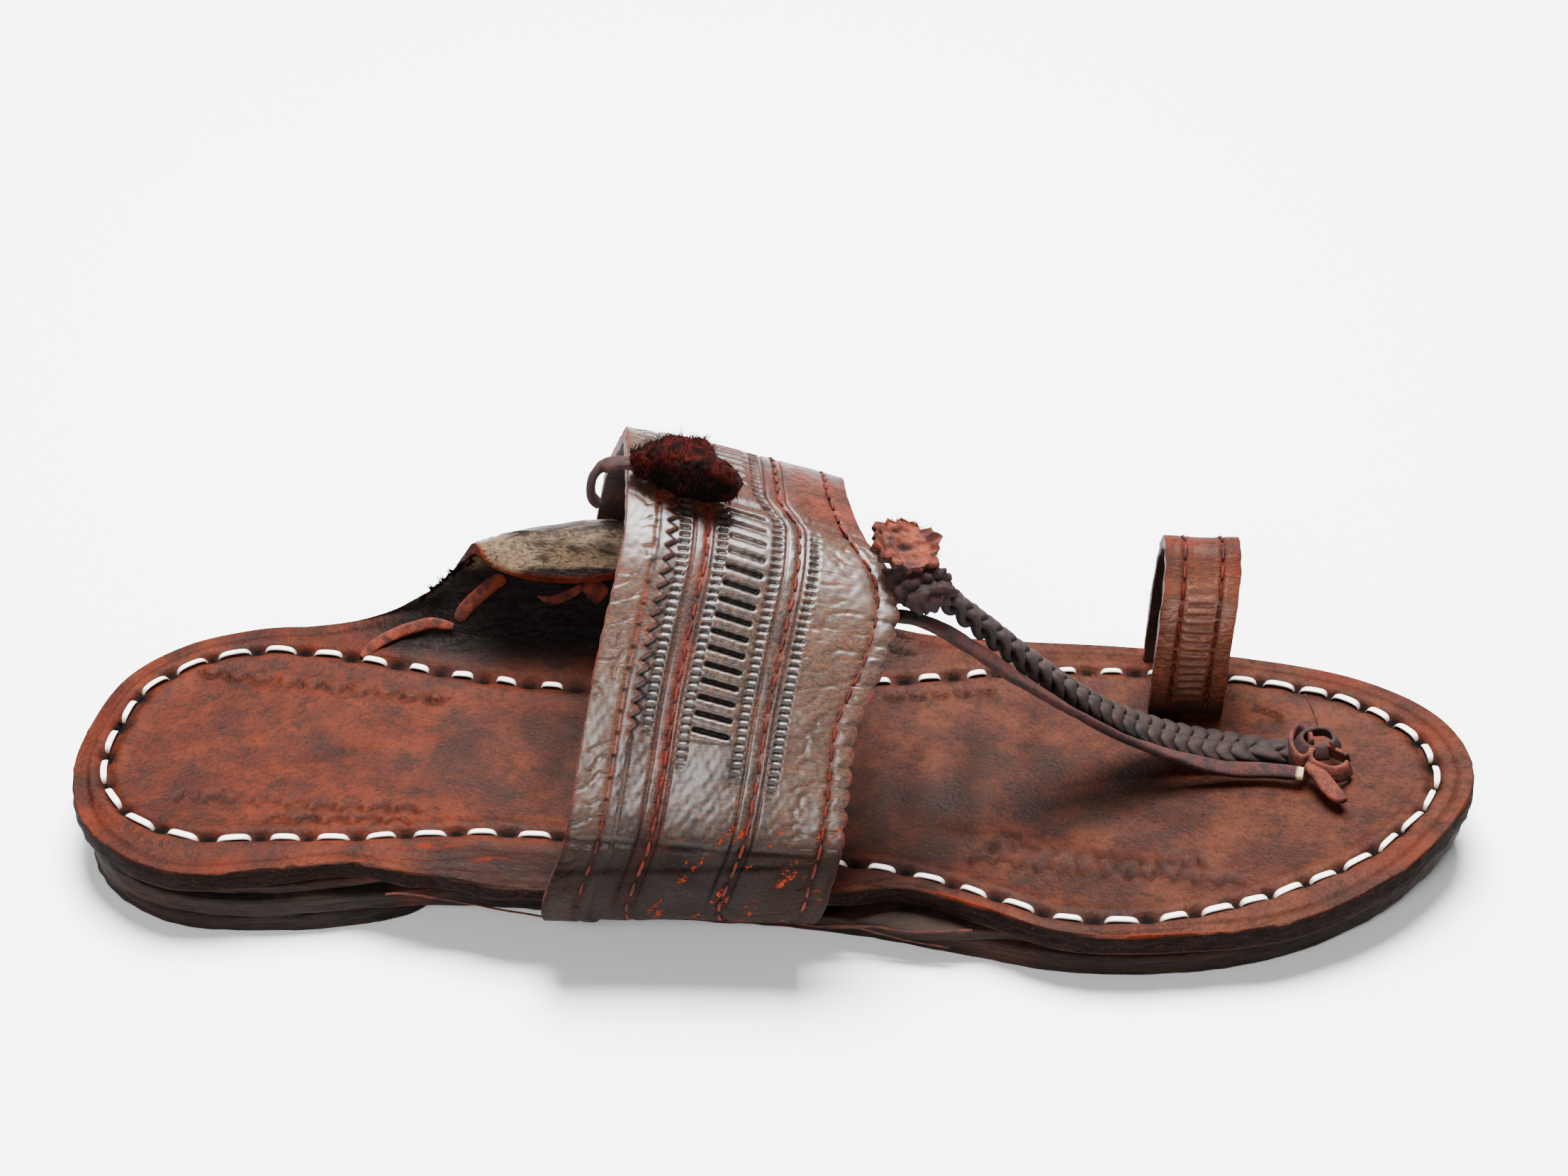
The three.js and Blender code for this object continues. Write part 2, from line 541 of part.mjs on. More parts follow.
// A fuzzy wedge of leather ends on the strap's crest, narrow over the back edge.
const tuft = () => tube([
  { x: 109.6, y: 5, z: 79.2, wide: 4.4, high: 3.4 },
  { x: 114, y: 4.8, z: 79.4, wide: 8, high: 6 },
  { x: 119, y: 4.4, z: 78.6, wide: 10.4, high: 7.6 },
  { x: 123.4, y: 4, z: 77, wide: 12, high: 7.4 },
  { x: 126, y: 3.8, z: 75.8, wide: 9, high: 5 },
], 14, 12);

// The end of that wedge's thong hooks down over the strap's back edge.
const tuftThong = () => tube([
  { x: 108.8, y: 4.4, z: 78.8, wide: 2.8, high: 2.2 },
  { x: 106.2, y: 4.4, z: 78.4, wide: 2.8, high: 2.2 },
  { x: 104.8, y: 4.4, z: 75.6, wide: 2.8, high: 2.2 },
  { x: 104.8, y: 4.4, z: 71.6, wide: 2.6, high: 2 },
], 10, 8);

// ---------------------------------------------------------------- the sandal
function leather(colour, roughness) {
  return new THREE.MeshStandardMaterial({ color: colour, roughness, metalness: 0 });
}

const seatLeather = leather(0x6b3c31, 0.55);
const soleLeather = leather(0x3a2f2b, 0.75);
const strapLeather = leather(0x4a3f3a, 0.35);
const rawLeather = leather(0xa2492b, 0.85);
const darkThong = leather(0x3a1712, 0.7);

const PIECES = {
  outsole: [outsole(), soleLeather],
  midsole: [midsole(), soleLeather],
  heel_lift: [heelLift(), soleLeather],
  insole: [insole(), seatLeather],
  instep_strap: [instepStrap(), strapLeather],
  toe_loop: [toeLoop(), strapLeather],
  braid: [braid(), strapLeather],
  toe_thong: [toeThong(), darkThong],
  toe_knot: [toeKnot(), rawLeather],
  rosette_knot: [rosetteKnot(), darkThong],
  rosette: [rosette(), rawLeather],
  tuft: [tuft(), darkThong],
  tuft_thong: [tuftThong(), darkThong],
};

const sandal = new THREE.Group();
for (const [name, [geometry, material]] of Object.entries(PIECES)) {
  const mesh = new THREE.Mesh(geometry, material);
  mesh.name = name;
  sandal.add(mesh);
}

const box = new THREE.Box3().setFromObject(sandal);
sandal.position.set(-(box.min.x + box.max.x) / 2, -(box.min.y + box.max.y) / 2, 0);

export default sandal;
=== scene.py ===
# %% [markdown]
# # A kolhapuri sandal, finished in Blender
# The solids of this right sandal come from the frame. Here each one is replaced by a finely modelled
# piece of leather of the same size, and every piece gets its own dyed, worn finish.
# Work goes on in the sandal's own millimetres: x from the heel's back to the toe, y towards the
# big-toe side, z up from the floor.

# %% Load the frame
import math

import bmesh
import bpy
import numpy as np
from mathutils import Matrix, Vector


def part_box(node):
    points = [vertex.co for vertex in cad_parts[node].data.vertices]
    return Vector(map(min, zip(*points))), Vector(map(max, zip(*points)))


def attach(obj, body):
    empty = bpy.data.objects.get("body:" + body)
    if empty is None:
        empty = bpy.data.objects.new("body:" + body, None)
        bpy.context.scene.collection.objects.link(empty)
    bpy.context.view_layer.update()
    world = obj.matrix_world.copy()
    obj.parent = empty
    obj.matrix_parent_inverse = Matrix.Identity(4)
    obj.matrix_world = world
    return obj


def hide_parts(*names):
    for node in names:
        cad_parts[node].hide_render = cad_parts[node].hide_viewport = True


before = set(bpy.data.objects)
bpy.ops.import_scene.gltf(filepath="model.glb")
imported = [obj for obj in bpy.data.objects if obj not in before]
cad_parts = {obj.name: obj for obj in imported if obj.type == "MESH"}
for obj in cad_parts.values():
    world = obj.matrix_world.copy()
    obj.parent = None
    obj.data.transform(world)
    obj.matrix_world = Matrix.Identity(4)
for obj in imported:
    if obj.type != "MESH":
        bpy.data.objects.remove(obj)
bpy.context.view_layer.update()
print("CAD nodes:", sorted(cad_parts))

# %% [markdown]
# ## Tables and curves
# A shoemaker works from a few measured stations. Each table here has named columns and one row for
# each station, and a smooth curve runs through its rows, so the same few numbers give a coarse or a
# fine surface.

# %% Tables with named columns
def table(names, rows):
    """Columns by name from rows of numbers."""
    return dict(zip(names.split(), np.array(rows, float).T))


def through(columns, t, closed=False):
    """A smooth curve through a table's rows. t runs from 0 to 1, and every column is worked out."""
    count = len(next(iter(columns.values())))
    spans = count if closed else count - 1
    t = np.asarray(t, float)
    place = (t % 1 if closed else np.clip(t, 0, 1)) * spans
    first = np.minimum(np.floor(place).astype(int), spans - 1)
    u = place - first
    reach = [first + step for step in (-1, 0, 1, 2)]
    near = [i % count if closed else np.clip(i, 0, count - 1) for i in reach]
    found = {}
    for name, column in columns.items():
        a, b, c, d = (column[i] for i in near)
        curve = 2 * b + (c - a) * u + (2 * a - 5 * b + 4 * c - d) * u**2
        found[name] = (curve + (3 * b - a - 3 * c + d) * u**3) / 2
    return found

# %% Small helpers for shapes
def smoothstep(low, high, value):
    t = np.clip((np.asarray(value, float) - low) / (high - low), 0, 1)
    return t * t * (3 - 2 * t)


def mix(a, b, t):
    return a + (b - a) * t


def hump(value, middle, width):
    """A round rise of 1 at the middle that fades over the width."""
    return np.exp(-(((value - middle) / width) ** 2))


def stack(*parts):
    """Points from their x, y and z."""
    return np.stack(np.broadcast_arrays(*parts), axis=-1)


def unit(ways):
    """Ways of length 1."""
    ways = np.asarray(ways, float)
    return ways / np.linalg.norm(ways, axis=-1, keepdims=True)


def placed(name, data):
    """A new object in the scene."""
    thing = bpy.data.objects.new(name, data)
    bpy.context.scene.collection.objects.link(thing)
    return thing

# %% Smooth repeatable noise, for hand-made unevenness
def wobble(points, size, seed=0):
    """Noise from -1 to 1 whose bumps are about one size apart, the same on every run."""
    place = np.asarray(points, float) / size
    cell = np.floor(place)
    part = place - cell
    ease = part * part * (3 - 2 * part)
    total = 0
    for corner in np.ndindex(*(2,) * place.shape[-1]):
        index = cell + corner
        dots = index @ np.array([127.1, 311.7, 74.7])[: place.shape[-1]]
        value = np.modf(np.sin(dots + 19.19 * seed) * 43758.5453)[0]
        weight = np.prod(np.where(np.array(corner) == 1, ease, 1 - ease), axis=-1)
        total = total + weight * value
    return total


print("noise half a bump apart:", wobble([[0, 0, 0], [0.5, 0, 0], [1, 0, 0]], 1).round(2))

# %% [markdown]
# ## The sole's heights
# Four plies lie on each other with a hair of air between them. A short lift raises the heel, the sole
# comes down off it at the waist, and the tip springs up a little.

# %% Plies and their heights
GAP = 0.3
LIFT = 3.6
PLY = {"outsole": (3.8, 4.4), "midsole": (1.8, 2.1), "insole": (4.4, 4.8)}
SPRING_FROM, SPRING_TO, SPRING_RISE = 215, 267, 5.5
SEAT_DISH = 0.9


def ballward(x):
    return smoothstep(60, 118, x)


def toe_spring(x):
    return SPRING_RISE * np.maximum(0, (x - SPRING_FROM) / (SPRING_TO - SPRING_FROM)) ** 2


def thickness(ply, x):
    return mix(*PLY[ply], ballward(x))


def outsole_under(x):
    return mix(LIFT + GAP, 0, ballward(x)) + toe_spring(x)


def midsole_under(x):
    return outsole_under(x) + thickness("outsole", x) + GAP


def insole_under(x):
    return midsole_under(x) + thickness("midsole", x) + GAP


def seat_top(x):
    return insole_under(x) + thickness("insole", x)


print("the seat is", round(float(seat_top(30)), 1), "mm up at the heel and", round(float(seat_top(190)), 1))

# %% [markdown]
# ## Outlines
# The flat plies follow one outline. The seat follows its seam instead: the table gives the leather
# outside the seam, how far it turns up, and how much of it folds back in at the top of a wing.

# %% The plies' edge, the lift's edge and the seat's seam
PLY_EDGE = table("x y", [
    (4, 3), (7.4, 18.6), (16, 31.6), (31, 38.6), (46, 38.8), (62, 35.4), (80, 31.8), (100, 30),
    (122, 30.6), (144, 33.4), (166, 38), (188, 41.8), (208, 41.8), (227, 38.6), (245.6, 30.4),
    (259, 16.6), (264.4, 0), (259, -12.8), (246.6, -25.6), (229, -35.4), (209, -40.6), (189, -40.8),
    (170, -36.6), (150, -31.8), (126, -29), (102, -28.4), (80, -29.2), (61, -32), (42, -34.6),
    (26, -33), (13.6, -25.4), (6.6, -12.4),
])
LIFT_END = 76
LIFT_EDGE = table("x y", [
    (4.4, 3), (7.8, 18.4), (16.4, 31.2), (31, 38), (46, 38.2), (62, 34.8), (72, 29),
    (LIFT_END - 0.6, 17), (LIFT_END, 2), (LIFT_END - 0.6, -14), (71.4, -26), (61, -31.6),
    (42, -34.2), (26, -32.6), (14, -25), (7, -12.2),
])
SEAM = table("x y margin turn edge flap", [
    (9, 4, 5.4, 0, 4.2, 0), (12.8, 20, 5.8, 0, 4.2, 0), (21.5, 29.4, 6.4, 0, 4.2, 0),
    (33, 33.6, 7, 4, 4, 0), (42, 33.4, 8, 14, 3.4, 0), (52, 31.6, 11.2, 32, 2.8, 0),
    (62, 29.2, 16.8, 50, 2.5, 0), (71, 27.4, 22.4, 62, 2.4, 3), (80, 26.2, 26.4, 66, 2.4, 10),
    (91, 25.6, 29.6, 68, 2.4, 14), (104, 25.6, 31, 70, 2.4, 13), (118, 26.2, 30, 70, 2.4, 4),
    (132, 27.6, 23, 67, 2.4, 0), (146, 29.4, 16.4, 56, 2.6, 0), (162, 31.8, 12.4, 28, 3.2, 0),
    (182, 34.8, 9.4, 10, 4, 0), (204, 35.2, 8.4, 0, 4.4, 0), (226, 33, 7.2, 0, 4.4, 0),
    (243, 26.4, 6.8, 0, 4.4, 0), (254.6, 14.6, 7, 0, 4.4, 0), (258.9, 1, 6.8, 0, 4.4, 0),
    (254.6, -10.6, 7, 0, 4.4, 0), (243.6, -21.8, 7.8, 0, 4.4, 0), (227, -31, 8.6, 0, 4.4, 0),
    (208, -37.8, 5.4, 0, 4.4, 0), (190, -39, 4.4, 0, 4.4, 0), (175, -33, 4, 4, 4.2, 0),
    (160, -27, 5, 12, 3.6, 0), (146, -24.6, 12, 24, 2.8, 0), (132, -22.8, 17.6, 28, 2.4, 0),
    (116, -21, 19.8, 24, 2.4, 0), (100, -20, 20.4, 18, 2.4, 0), (84, -20, 18.6, 11, 2.4, 0),
    (70, -22, 13, 8, 2.8, 0), (58, -23.4, 7.8, 6, 3.4, 0), (44, -24, 9.2, 0, 4, 0),
    (29, -24.2, 10.8, 0, 4.2, 0), (17, -18.6, 8.4, 0, 4.2, 0), (10.2, -8, 6.2, 0, 4.2, 0),
])
print(len(PLY_EDGE["x"]), "stations round the plies and", len(SEAM["x"]), "round the seam")

# %% Where the sandal's own millimetres lie in the frame
MM = 0.001
edge_line = through(PLY_EDGE, np.linspace(0, 1, 2000), closed=True)
outsole_high = np.array(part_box("outsole")[1]) / MM
SHIFT = np.array([outsole_high[0] - edge_line["x"].max(), outsole_high[1] - edge_line["y"].max(), 0])
print("sandal millimetres are moved by", SHIFT.round(3))

# %% Points of an outline, with the way that leads squarely out of it
def outline_at(rows, t):
    step = 0.002
    ahead = through(rows, t + step, closed=True)
    behind = through(rows, t - step, closed=True)
    run_x, run_y = ahead["x"] - behind["x"], ahead["y"] - behind["y"]
    length = np.hypot(run_x, run_y)
    return {**through(rows, t, closed=True), "out_x": -run_y / length, "out_y": run_x / length}


def stations(count, ease=0.1):
    """Places from 0 to 1 that are even in the middle and close up at both ends."""
    t = np.linspace(0, 1, 4001)
    crowd = 1 / np.sqrt(np.minimum(1, np.minimum(t, 1 - t) / ease) + 1e-3)
    run = np.concatenate([[0], np.cumsum((crowd[1:] + crowd[:-1]) / 2)])
    return np.interp(np.linspace(0, 1, count), run / run[-1], t)


def two_sides(rows, count):
    """An outline's two sides from heel to toe, each point level with its pair on the other side."""
    near_heel = np.linspace(-0.25, 0.25, 5001)
    heel = near_heel[np.argmin(through(rows, near_heel, closed=True)["x"])]
    t = heel + np.linspace(0, 1, 20001)
    x = through(rows, t, closed=True)["x"]
    toe = int(np.argmax(x))
    level = mix(x.min(), x.max(), stations(count))
    inner = np.interp(level, np.maximum.accumulate(x[: toe + 1]), t[: toe + 1])
    outer = np.interp(level, np.maximum.accumulate(x[toe:][::-1]), t[toe:][::-1])
    inner[0], outer[0], inner[-1], outer[-1] = heel, heel + 1, t[toe], t[toe]
    return outline_at(rows, inner), outline_at(rows, outer)


inner, outer = two_sides(SEAM, 9)
print("seam widths down the foot:", np.round(inner["y"] - outer["y"], 1))

# %% [markdown]
# ## Grids of points into pieces
# Leather is a sheet, so nearly every piece here is a grid: one direction runs along the piece and the
# other goes round its section, from the outer face over the cut edge to the back. A grid is quick to
# work out for all its points at once, and tool marks are pushed into it as real shape. Each point can
# also carry masks, such as how raw the leather is there or how dark it is painted, for the finish to
# read; much of that darkness is painted shade in hollows and underneath.

# %% Build a mesh from grids of closed rings
SLOTS = {
    "seat": "seat_leather", "sole": "sole_leather", "strap": "strap_leather", "plait": "strap_leather",
    "raw": "raw_leather", "lacing": "raw_leather", "strip": "white_strip", "thong": "thong_leather",
    "thread": "thong_leather", "fuzz": "thong_leather",
}
POINT_WELD = 0.002


def ring_faces(rows, columns):
    """Faces between rings that follow each other."""
    row, column = np.arange(rows - 1)[:, None], np.arange(columns)[None, :]
    after = (column + 1) % columns
    corners = [(row, column), (row + 1, column), (row + 1, after), (row, after)]
    return np.stack([a * columns + b for a, b in corners], -1).reshape(-1, 4)

# %% One piece from its grids, masks and finish
def build(name, grids, masks, finish, nodes=(), slot=None, pointed=False):
    """One piece in the frame's metres from closed grids, with its masks, finish and body. The slot is not
    used.

    The ends are filled, or welded where the grids come to a point. A mask is one for all the grids or
    a list with one for each.
    """
    points, faces, start = [], [], 0
    for grid in grids:
        rows, columns = grid.shape[:2]
        faces += (ring_faces(rows, columns) + start).tolist()
        if not pointed:
            last = start + (rows - 1) * columns
            faces += [list(range(start, start + columns))[::-1], list(range(last, last + columns))]
        points.append(grid.reshape(-1, 3))
        start += rows * columns
    mesh = bpy.data.meshes.new(name)
    mesh.from_pydata(((np.concatenate(points) + SHIFT) * MM).tolist(), [], faces)
    for mask, values in masks.items():
        each = values if isinstance(values, list) else [values] * len(grids)
        spread = [np.broadcast_to(part, grid.shape[:2]).ravel() for part, grid in zip(each, grids)]
        mesh.attributes.new(mask, "FLOAT", "POINT").data.foreach_set("value", np.concatenate(spread))
    work = bmesh.new()
    work.from_mesh(mesh)
    if pointed:
        bmesh.ops.remove_doubles(work, verts=work.verts, dist=POINT_WELD * MM)
    bmesh.ops.recalc_face_normals(work, faces=work.faces)
    work.to_mesh(mesh)
    work.free()
    mesh.shade_smooth()
    mesh.materials.append(FINISH[finish])
    piece = placed(name, mesh)
    slot = slot or SLOTS[finish]
    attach(piece, "root")
    if nodes:
        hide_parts(*nodes)
    print(f"{name}: {len(mesh.polygons)} faces")


def normals(points):
    """Unit normals of a grid of points."""
    across = np.cross(np.gradient(points, axis=0), np.gradient(points, axis=1))
    return across / np.maximum(np.linalg.norm(across, axis=-1, keepdims=True), 1e-9)

# %% [markdown]
# ## Writing shader maths in Python
# A finish is a tree of nodes. One class wraps a socket so that `1 - mask` or `grain * 0.3` adds the
# Math node it needs, and one method adds any other node. Colours go through Mix nodes, because a Math
# node would turn them grey.

# %% A socket that does arithmetic
class Value:
    """One output of a node, with Python's operators."""

    def __init__(self, finish, socket):
        self.finish = finish
        self.socket = socket

    def maths(self, operation, *values, **settings):
        sockets = dict(enumerate(values))
        return self.finish.node("ShaderNodeMath", {"operation": operation, **settings}, sockets)

    def __add__(self, other):
        return self.maths("ADD", self, other)

    def __sub__(self, other):
        return self.maths("SUBTRACT", self, other)

    def __rsub__(self, other):
        return self.maths("SUBTRACT", other, self)

    def __mul__(self, other):
        return self.maths("MULTIPLY", self, other)

    def __truediv__(self, other):
        return self.maths("DIVIDE", self, other)

    def __abs__(self):
        return self.maths("ABSOLUTE", self)

    __radd__ = __add__
    __rmul__ = __mul__

    def over(self, low, high):
        """0 below low, 1 above high, and smooth between."""
        settings = {"interpolation_type": "SMOOTHSTEP"}
        return self.finish.node("ShaderNodeMapRange", settings, {0: self, 1: low, 2: high})

    def kept(self):
        """The value, held between 0 and 1."""
        return self.maths("ADD", self, 0.0, use_clamp=True)

# %% A finish, which is a material made of such values
class Finish:
    def __init__(self, name):
        self.material = bpy.data.materials.new(name)
        self.material.use_nodes = True
        self.tree = self.material.node_tree
        self.tree.nodes.clear()

    def node(self, kind, settings=None, sockets=None, output=0):
        """Any node: its settings first, then the values or links of its sockets."""
        node = self.tree.nodes.new(kind)
        for name, setting in (settings or {}).items():
            setattr(node, name, setting)
        for key, value in (sockets or {}).items():
            held = node.inputs[key]
            if isinstance(value, Value):
                self.tree.links.new(value.socket, held)
            elif value is not None:
                held.default_value = (*value, 1) if held.type == "RGBA" and len(value) == 3 else value
        return Value(self, node.outputs[output]) if node.outputs else node

    def mask(self, name):
        """A mask that the mesh carries."""
        return self.node("ShaderNodeAttribute", {"attribute_name": name}, output=2)

    def place(self, stretch=(1, 1, 1)):
        """The point in the sandal's frame in millimetres, squeezed where stretch is more than 1."""
        where = self.node("ShaderNodeTexCoord", output=3)
        scale = tuple(1 / (MM * part) for part in stretch)
        return self.node("ShaderNodeVectorMath", {"operation": "MULTIPLY"}, {0: where, 1: scale})

    def lay(self, stretch=(1, 1)):
        """Millimetres along and across a strap, from the two masks that carry them."""
        along, across = self.mask("along") / stretch[0], self.mask("across") / stretch[1]
        return self.node("ShaderNodeCombineXYZ", None, {0: along, 1: across})

    def noise(self, size, where=None, detail=3, rough=0.55, warp=0.0):
        """Noise from 0 to 1 with patches about one size across, in millimetres."""
        sockets = {"Vector": where or self.place(), "Scale": 1 / size, "Detail": detail}
        return self.node("ShaderNodeTexNoise", None, {**sockets, "Roughness": rough, "Distortion": warp})

    def cells(self, size):
        """Distance to points scattered about one size apart, in millimetres."""
        return self.node("ShaderNodeTexVoronoi", None, {"Vector": self.place(), "Scale": 1 / size})

    def blend(self, amount, first, second):
        """A colour between two, by an amount from 0 to 1."""
        return self.node("ShaderNodeMix", {"data_type": "RGBA"}, {0: amount, 6: first, 7: second}, output=2)

    def layered(self, colour, *layers):
        """Colours laid one over the other, each by its own amount."""
        for amount, over in layers:
            colour = self.blend(amount, colour, over)
        return colour

    def relief(self, *layers):
        """Fine relief in layers: each a height from 0 to 1, and how many millimetres that is."""
        skin = None
        for height, depth in layers:
            sockets = {"Height": height, "Distance": depth * MM, "Normal": skin}
            skin = self.node("ShaderNodeBump", None, sockets)
        return skin

    def surface(self, colour, rough, normal=None, **constants):
        """The skin that light meets. Constants go straight on the shader's own sockets."""
        sockets = {"Base Color": colour, "Roughness": rough, "Normal": normal}
        sockets.update({name.replace("_", " "): value for name, value in constants.items()})
        skin = self.node("ShaderNodeBsdfPrincipled", None, sockets)
        self.node("ShaderNodeOutputMaterial", None, {"Surface": skin})
        return self.material


DEPTH, RICHNESS = 0.38, 1.4


def dye(red, green, blue, depth=DEPTH, richness=RICHNESS):
    """A colour from 0 to 255 a channel, as the light it gives back. Oil deepens and enriches it."""
    return tuple(depth * ((part / 255 + 0.055) / 1.055) ** (2.4 * richness) for part in (red, green, blue))


print("a dark brown dye gives back", np.round(dye(66, 44, 36), 3))

# %% [markdown]
# ## The dyes
# The whole sandal is vegetable-tanned hide dyed dark brown. Where it is rubbed, bent or torn, the red
# and orange of the leather underneath shows. So each finish lays a dark dye over a warmer one and lets
# the masks and noise bring the warm one out.

# %% The seat: warm at the heel, plum brown at the ball, blackened where the foot never polished it, with painted shadow under the strap and braid
def seat_finish():
    leather = Finish("seat leather")
    cloud = leather.noise(22, detail=4, warp=0.6)
    patch = leather.noise(9, detail=5, rough=0.65)
    mottle = leather.noise(4, detail=5, rough=0.7)
    grain = leather.noise(0.9, detail=3, rough=0.7)
    speck = leather.noise(0.45, detail=1)
    pores = leather.cells(0.8)
    wrinkle = leather.noise(0.9, leather.place((3.4, 1.1, 1.1)), detail=5, rough=0.65, warp=1.6)
    fibre = leather.noise(0.55, leather.place((6, 6, 1)), detail=4, rough=0.7)
    warm, wing, flap = leather.mask("warm"), leather.mask("wing"), leather.mask("flap")
    dark, raw, rim, smudge_and_shadow = (leather.mask(name) for name in ("dark", "raw", "rim", "smudge_and_shadow"))

    plum = leather.blend(patch.over(0.3, 0.7), dye(98, 56, 43), dye(132, 84, 62))
    rust = leather.blend(patch.over(0.35, 0.65), dye(106, 49, 24), dye(140, 71, 34))
    hide = leather.blend(wrinkle.over(0.35, 0.75), dye(26, 19, 17), dye(72, 53, 45))
    streak = leather.noise(4.5, leather.place((2.6, 1, 1)), detail=3, rough=0.5, warp=0.4)
    vein = leather.noise(2.6, leather.place((2.2, 1, 1)), detail=3, rough=0.55, warp=0.8)
    scuffed = leather.layered(
        leather.blend(streak.over(0.4, 0.62), dye(66, 51, 42), dye(166, 144, 121)),
        (abs(vein - 0.5).over(0.03, 0.0) * 0.65, dye(34, 24, 19)),
    )
    cut = leather.blend(fibre.over(0.3, 0.7), dye(28, 20, 18), dye(78, 56, 46))
    torn = leather.blend(grain.over(0.3, 0.7), dye(128, 46, 18), dye(188, 88, 34))
    seat = leather.layered(
        leather.blend((warm * 0.85 + cloud * 0.5 - 0.25).kept(), plum, rust),
        ((cloud.over(0.46, 0.7) * 0.7).kept(), dye(66, 44, 36)),
        (mottle.over(0.48, 0.68) * 0.7, dye(70, 50, 37)),
        # partly dirt, partly painted shadow of the strap and the braid on the seat
        (smudge_and_shadow * (0.25 + patch * 0.3), dye(42, 31, 29)),
        (wing, hide), (flap, scuffed), (rim, cut),
        ((raw * (patch * 1.2 + 0.3)).kept(), torn),
        (speck.over(0.66, 0.78) * (1 - wing) * 0.5, dye(176, 120, 90)),
        (grain.over(0.48, 0.7) * 0.5, dye(34, 20, 15)),
        # painted shade in the stitch holes, the seam's groove, the stamps and the crease troughs
        (dark, dye(12, 7, 6)),
    )
    rough = 0.52 + patch * 0.16 - wing * 0.12 - flap * 0.16 + rim * 0.3 + raw * 0.25 + dark * 0.3
    creped = wrinkle * (wing * 0.9 + 0.05)
    skin = leather.relief((patch, 0.35), (grain + pores * 0.4, 0.2), (creped, 0.3), (fibre * rim, 0.7))
    return leather.surface(seat, rough.kept(), skin, Specular_IOR_Level=0.065)

# %% The plies of the sole: cut edges with fibres that run level, dull and darker
def sole_finish():
    leather = Finish("sole leather")
    cloud = leather.noise(14, leather.place((2, 2, 0.6)), detail=4)
    fibre = leather.noise(0.6, leather.place((12, 12, 0.7)), detail=5, rough=0.7, warp=0.5)
    grain = leather.noise(0.7, detail=3, rough=0.7)
    raw, tread = leather.mask("raw"), leather.mask("tread")
    torn = leather.blend(fibre.over(0.3, 0.7), dye(138, 48, 20), dye(206, 96, 42))
    wear_and_painted_light = leather.blend(cloud.over(0.3, 0.7), dye(92, 74, 62), dye(134, 110, 92))
    edge = leather.layered(
        leather.blend(fibre.over(0.32, 0.68), dye(34, 27, 24), dye(96, 78, 67)),
        (cloud.over(0.45, 0.72) * 0.45, dye(98, 62, 48)),
        ((raw * (cloud * 1.4 + 0.2)).kept(), torn),
        (tread, wear_and_painted_light),
    )
    skin = leather.relief((fibre, 0.5), (grain, 0.12))
    return leather.surface(edge, (0.6 + fibre * 0.3).kept(), skin, Specular_IOR_Level=0.15)

# %% The straps: dark and oiled, so the pebbled grain shines, with red at edges and cracks
def strap_finish():
    leather = Finish("strap leather")
    cloud = leather.noise(16, detail=3)
    patch = leather.noise(5, detail=4, rough=0.6)
    pebble = leather.noise(0.75, detail=3, rough=0.6)
    fleck = leather.noise(0.5, detail=2)
    crack = leather.noise(1.0, leather.lay((0.8, 5.5)), detail=4, rough=0.6, warp=1.2)
    split = abs(crack - 0.5).over(0.045, 0.0)
    red, raw, dark = leather.mask("red"), leather.mask("raw"), leather.mask("dark")
    dry_and_painted_sheen, dull, wear_and_painted_light = leather.mask("dry_and_painted_sheen"), leather.mask("dull"), leather.mask("wear_and_painted_light")
    rubbed = leather.blend(patch.over(0.3, 0.7), dye(104, 37, 18), dye(168, 74, 37))
    torn = leather.blend(fleck.over(0.35, 0.65), dye(150, 44, 12), dye(220, 104, 36))
    hide = leather.layered(
        leather.blend(patch.over(0.3, 0.7), dye(66, 46, 35), dye(134, 103, 80)),
        (cloud.over(0.45, 0.75) * 0.5, dye(96, 58, 39)),
        # painted sheen: the dry bands, the loop and a little of the rest are painted paler, partly the dry
        # leather's own colour
        (dry_and_painted_sheen * 0.4, dye(150, 119, 94)),
        # painted shade in the pits of the pebbled grain, less of it on the dry bands
        (pebble.over(0.55, 0.4) * (0.95 - dry_and_painted_sheen * 0.45), dye(28, 18, 14)),
        ((red * (0.55 + patch * 0.7)).kept(), rubbed),
        # painted light: the toe loop's legs are painted paler
        (wear_and_painted_light * (patch * 0.8 + 0.35), dye(204, 138, 108)),
        (split * dry_and_painted_sheen * 0.8, dye(176, 112, 70)),
        # painted shade: the dull mask also darkens the strap's lower part, its foot side and the loop's foot
        (dull * 0.85, dye(46, 28, 21)),
        (raw * fleck.over(0.4, 0.56), torn),
        # painted shade in the tooling's slots, pits, grooves, thread holes, notches and creases
        (dark, dye(12, 8, 6)),
    )
    rough = 0.5 + pebble * 0.3 + dull * 0.3 + dark * 0.3 + raw * 0.3
    oil = 0.7 - dull * 0.66 - dark * 0.4 - raw * 0.3 - red * 0.5 - cloud.over(0.45, 0.75) * 0.15
    skin = leather.relief((pebble * (1.3 - dry_and_painted_sheen * 0.7), 0.5), (1 - split * dry_and_painted_sheen, 0.14), (fleck, 0.06))
    return leather.surface(hide, rough.kept(), skin, Specular_IOR_Level=0.16, Coat_Weight=oil.kept(),
                           Coat_Roughness=0.31, Coat_IOR=1.5)

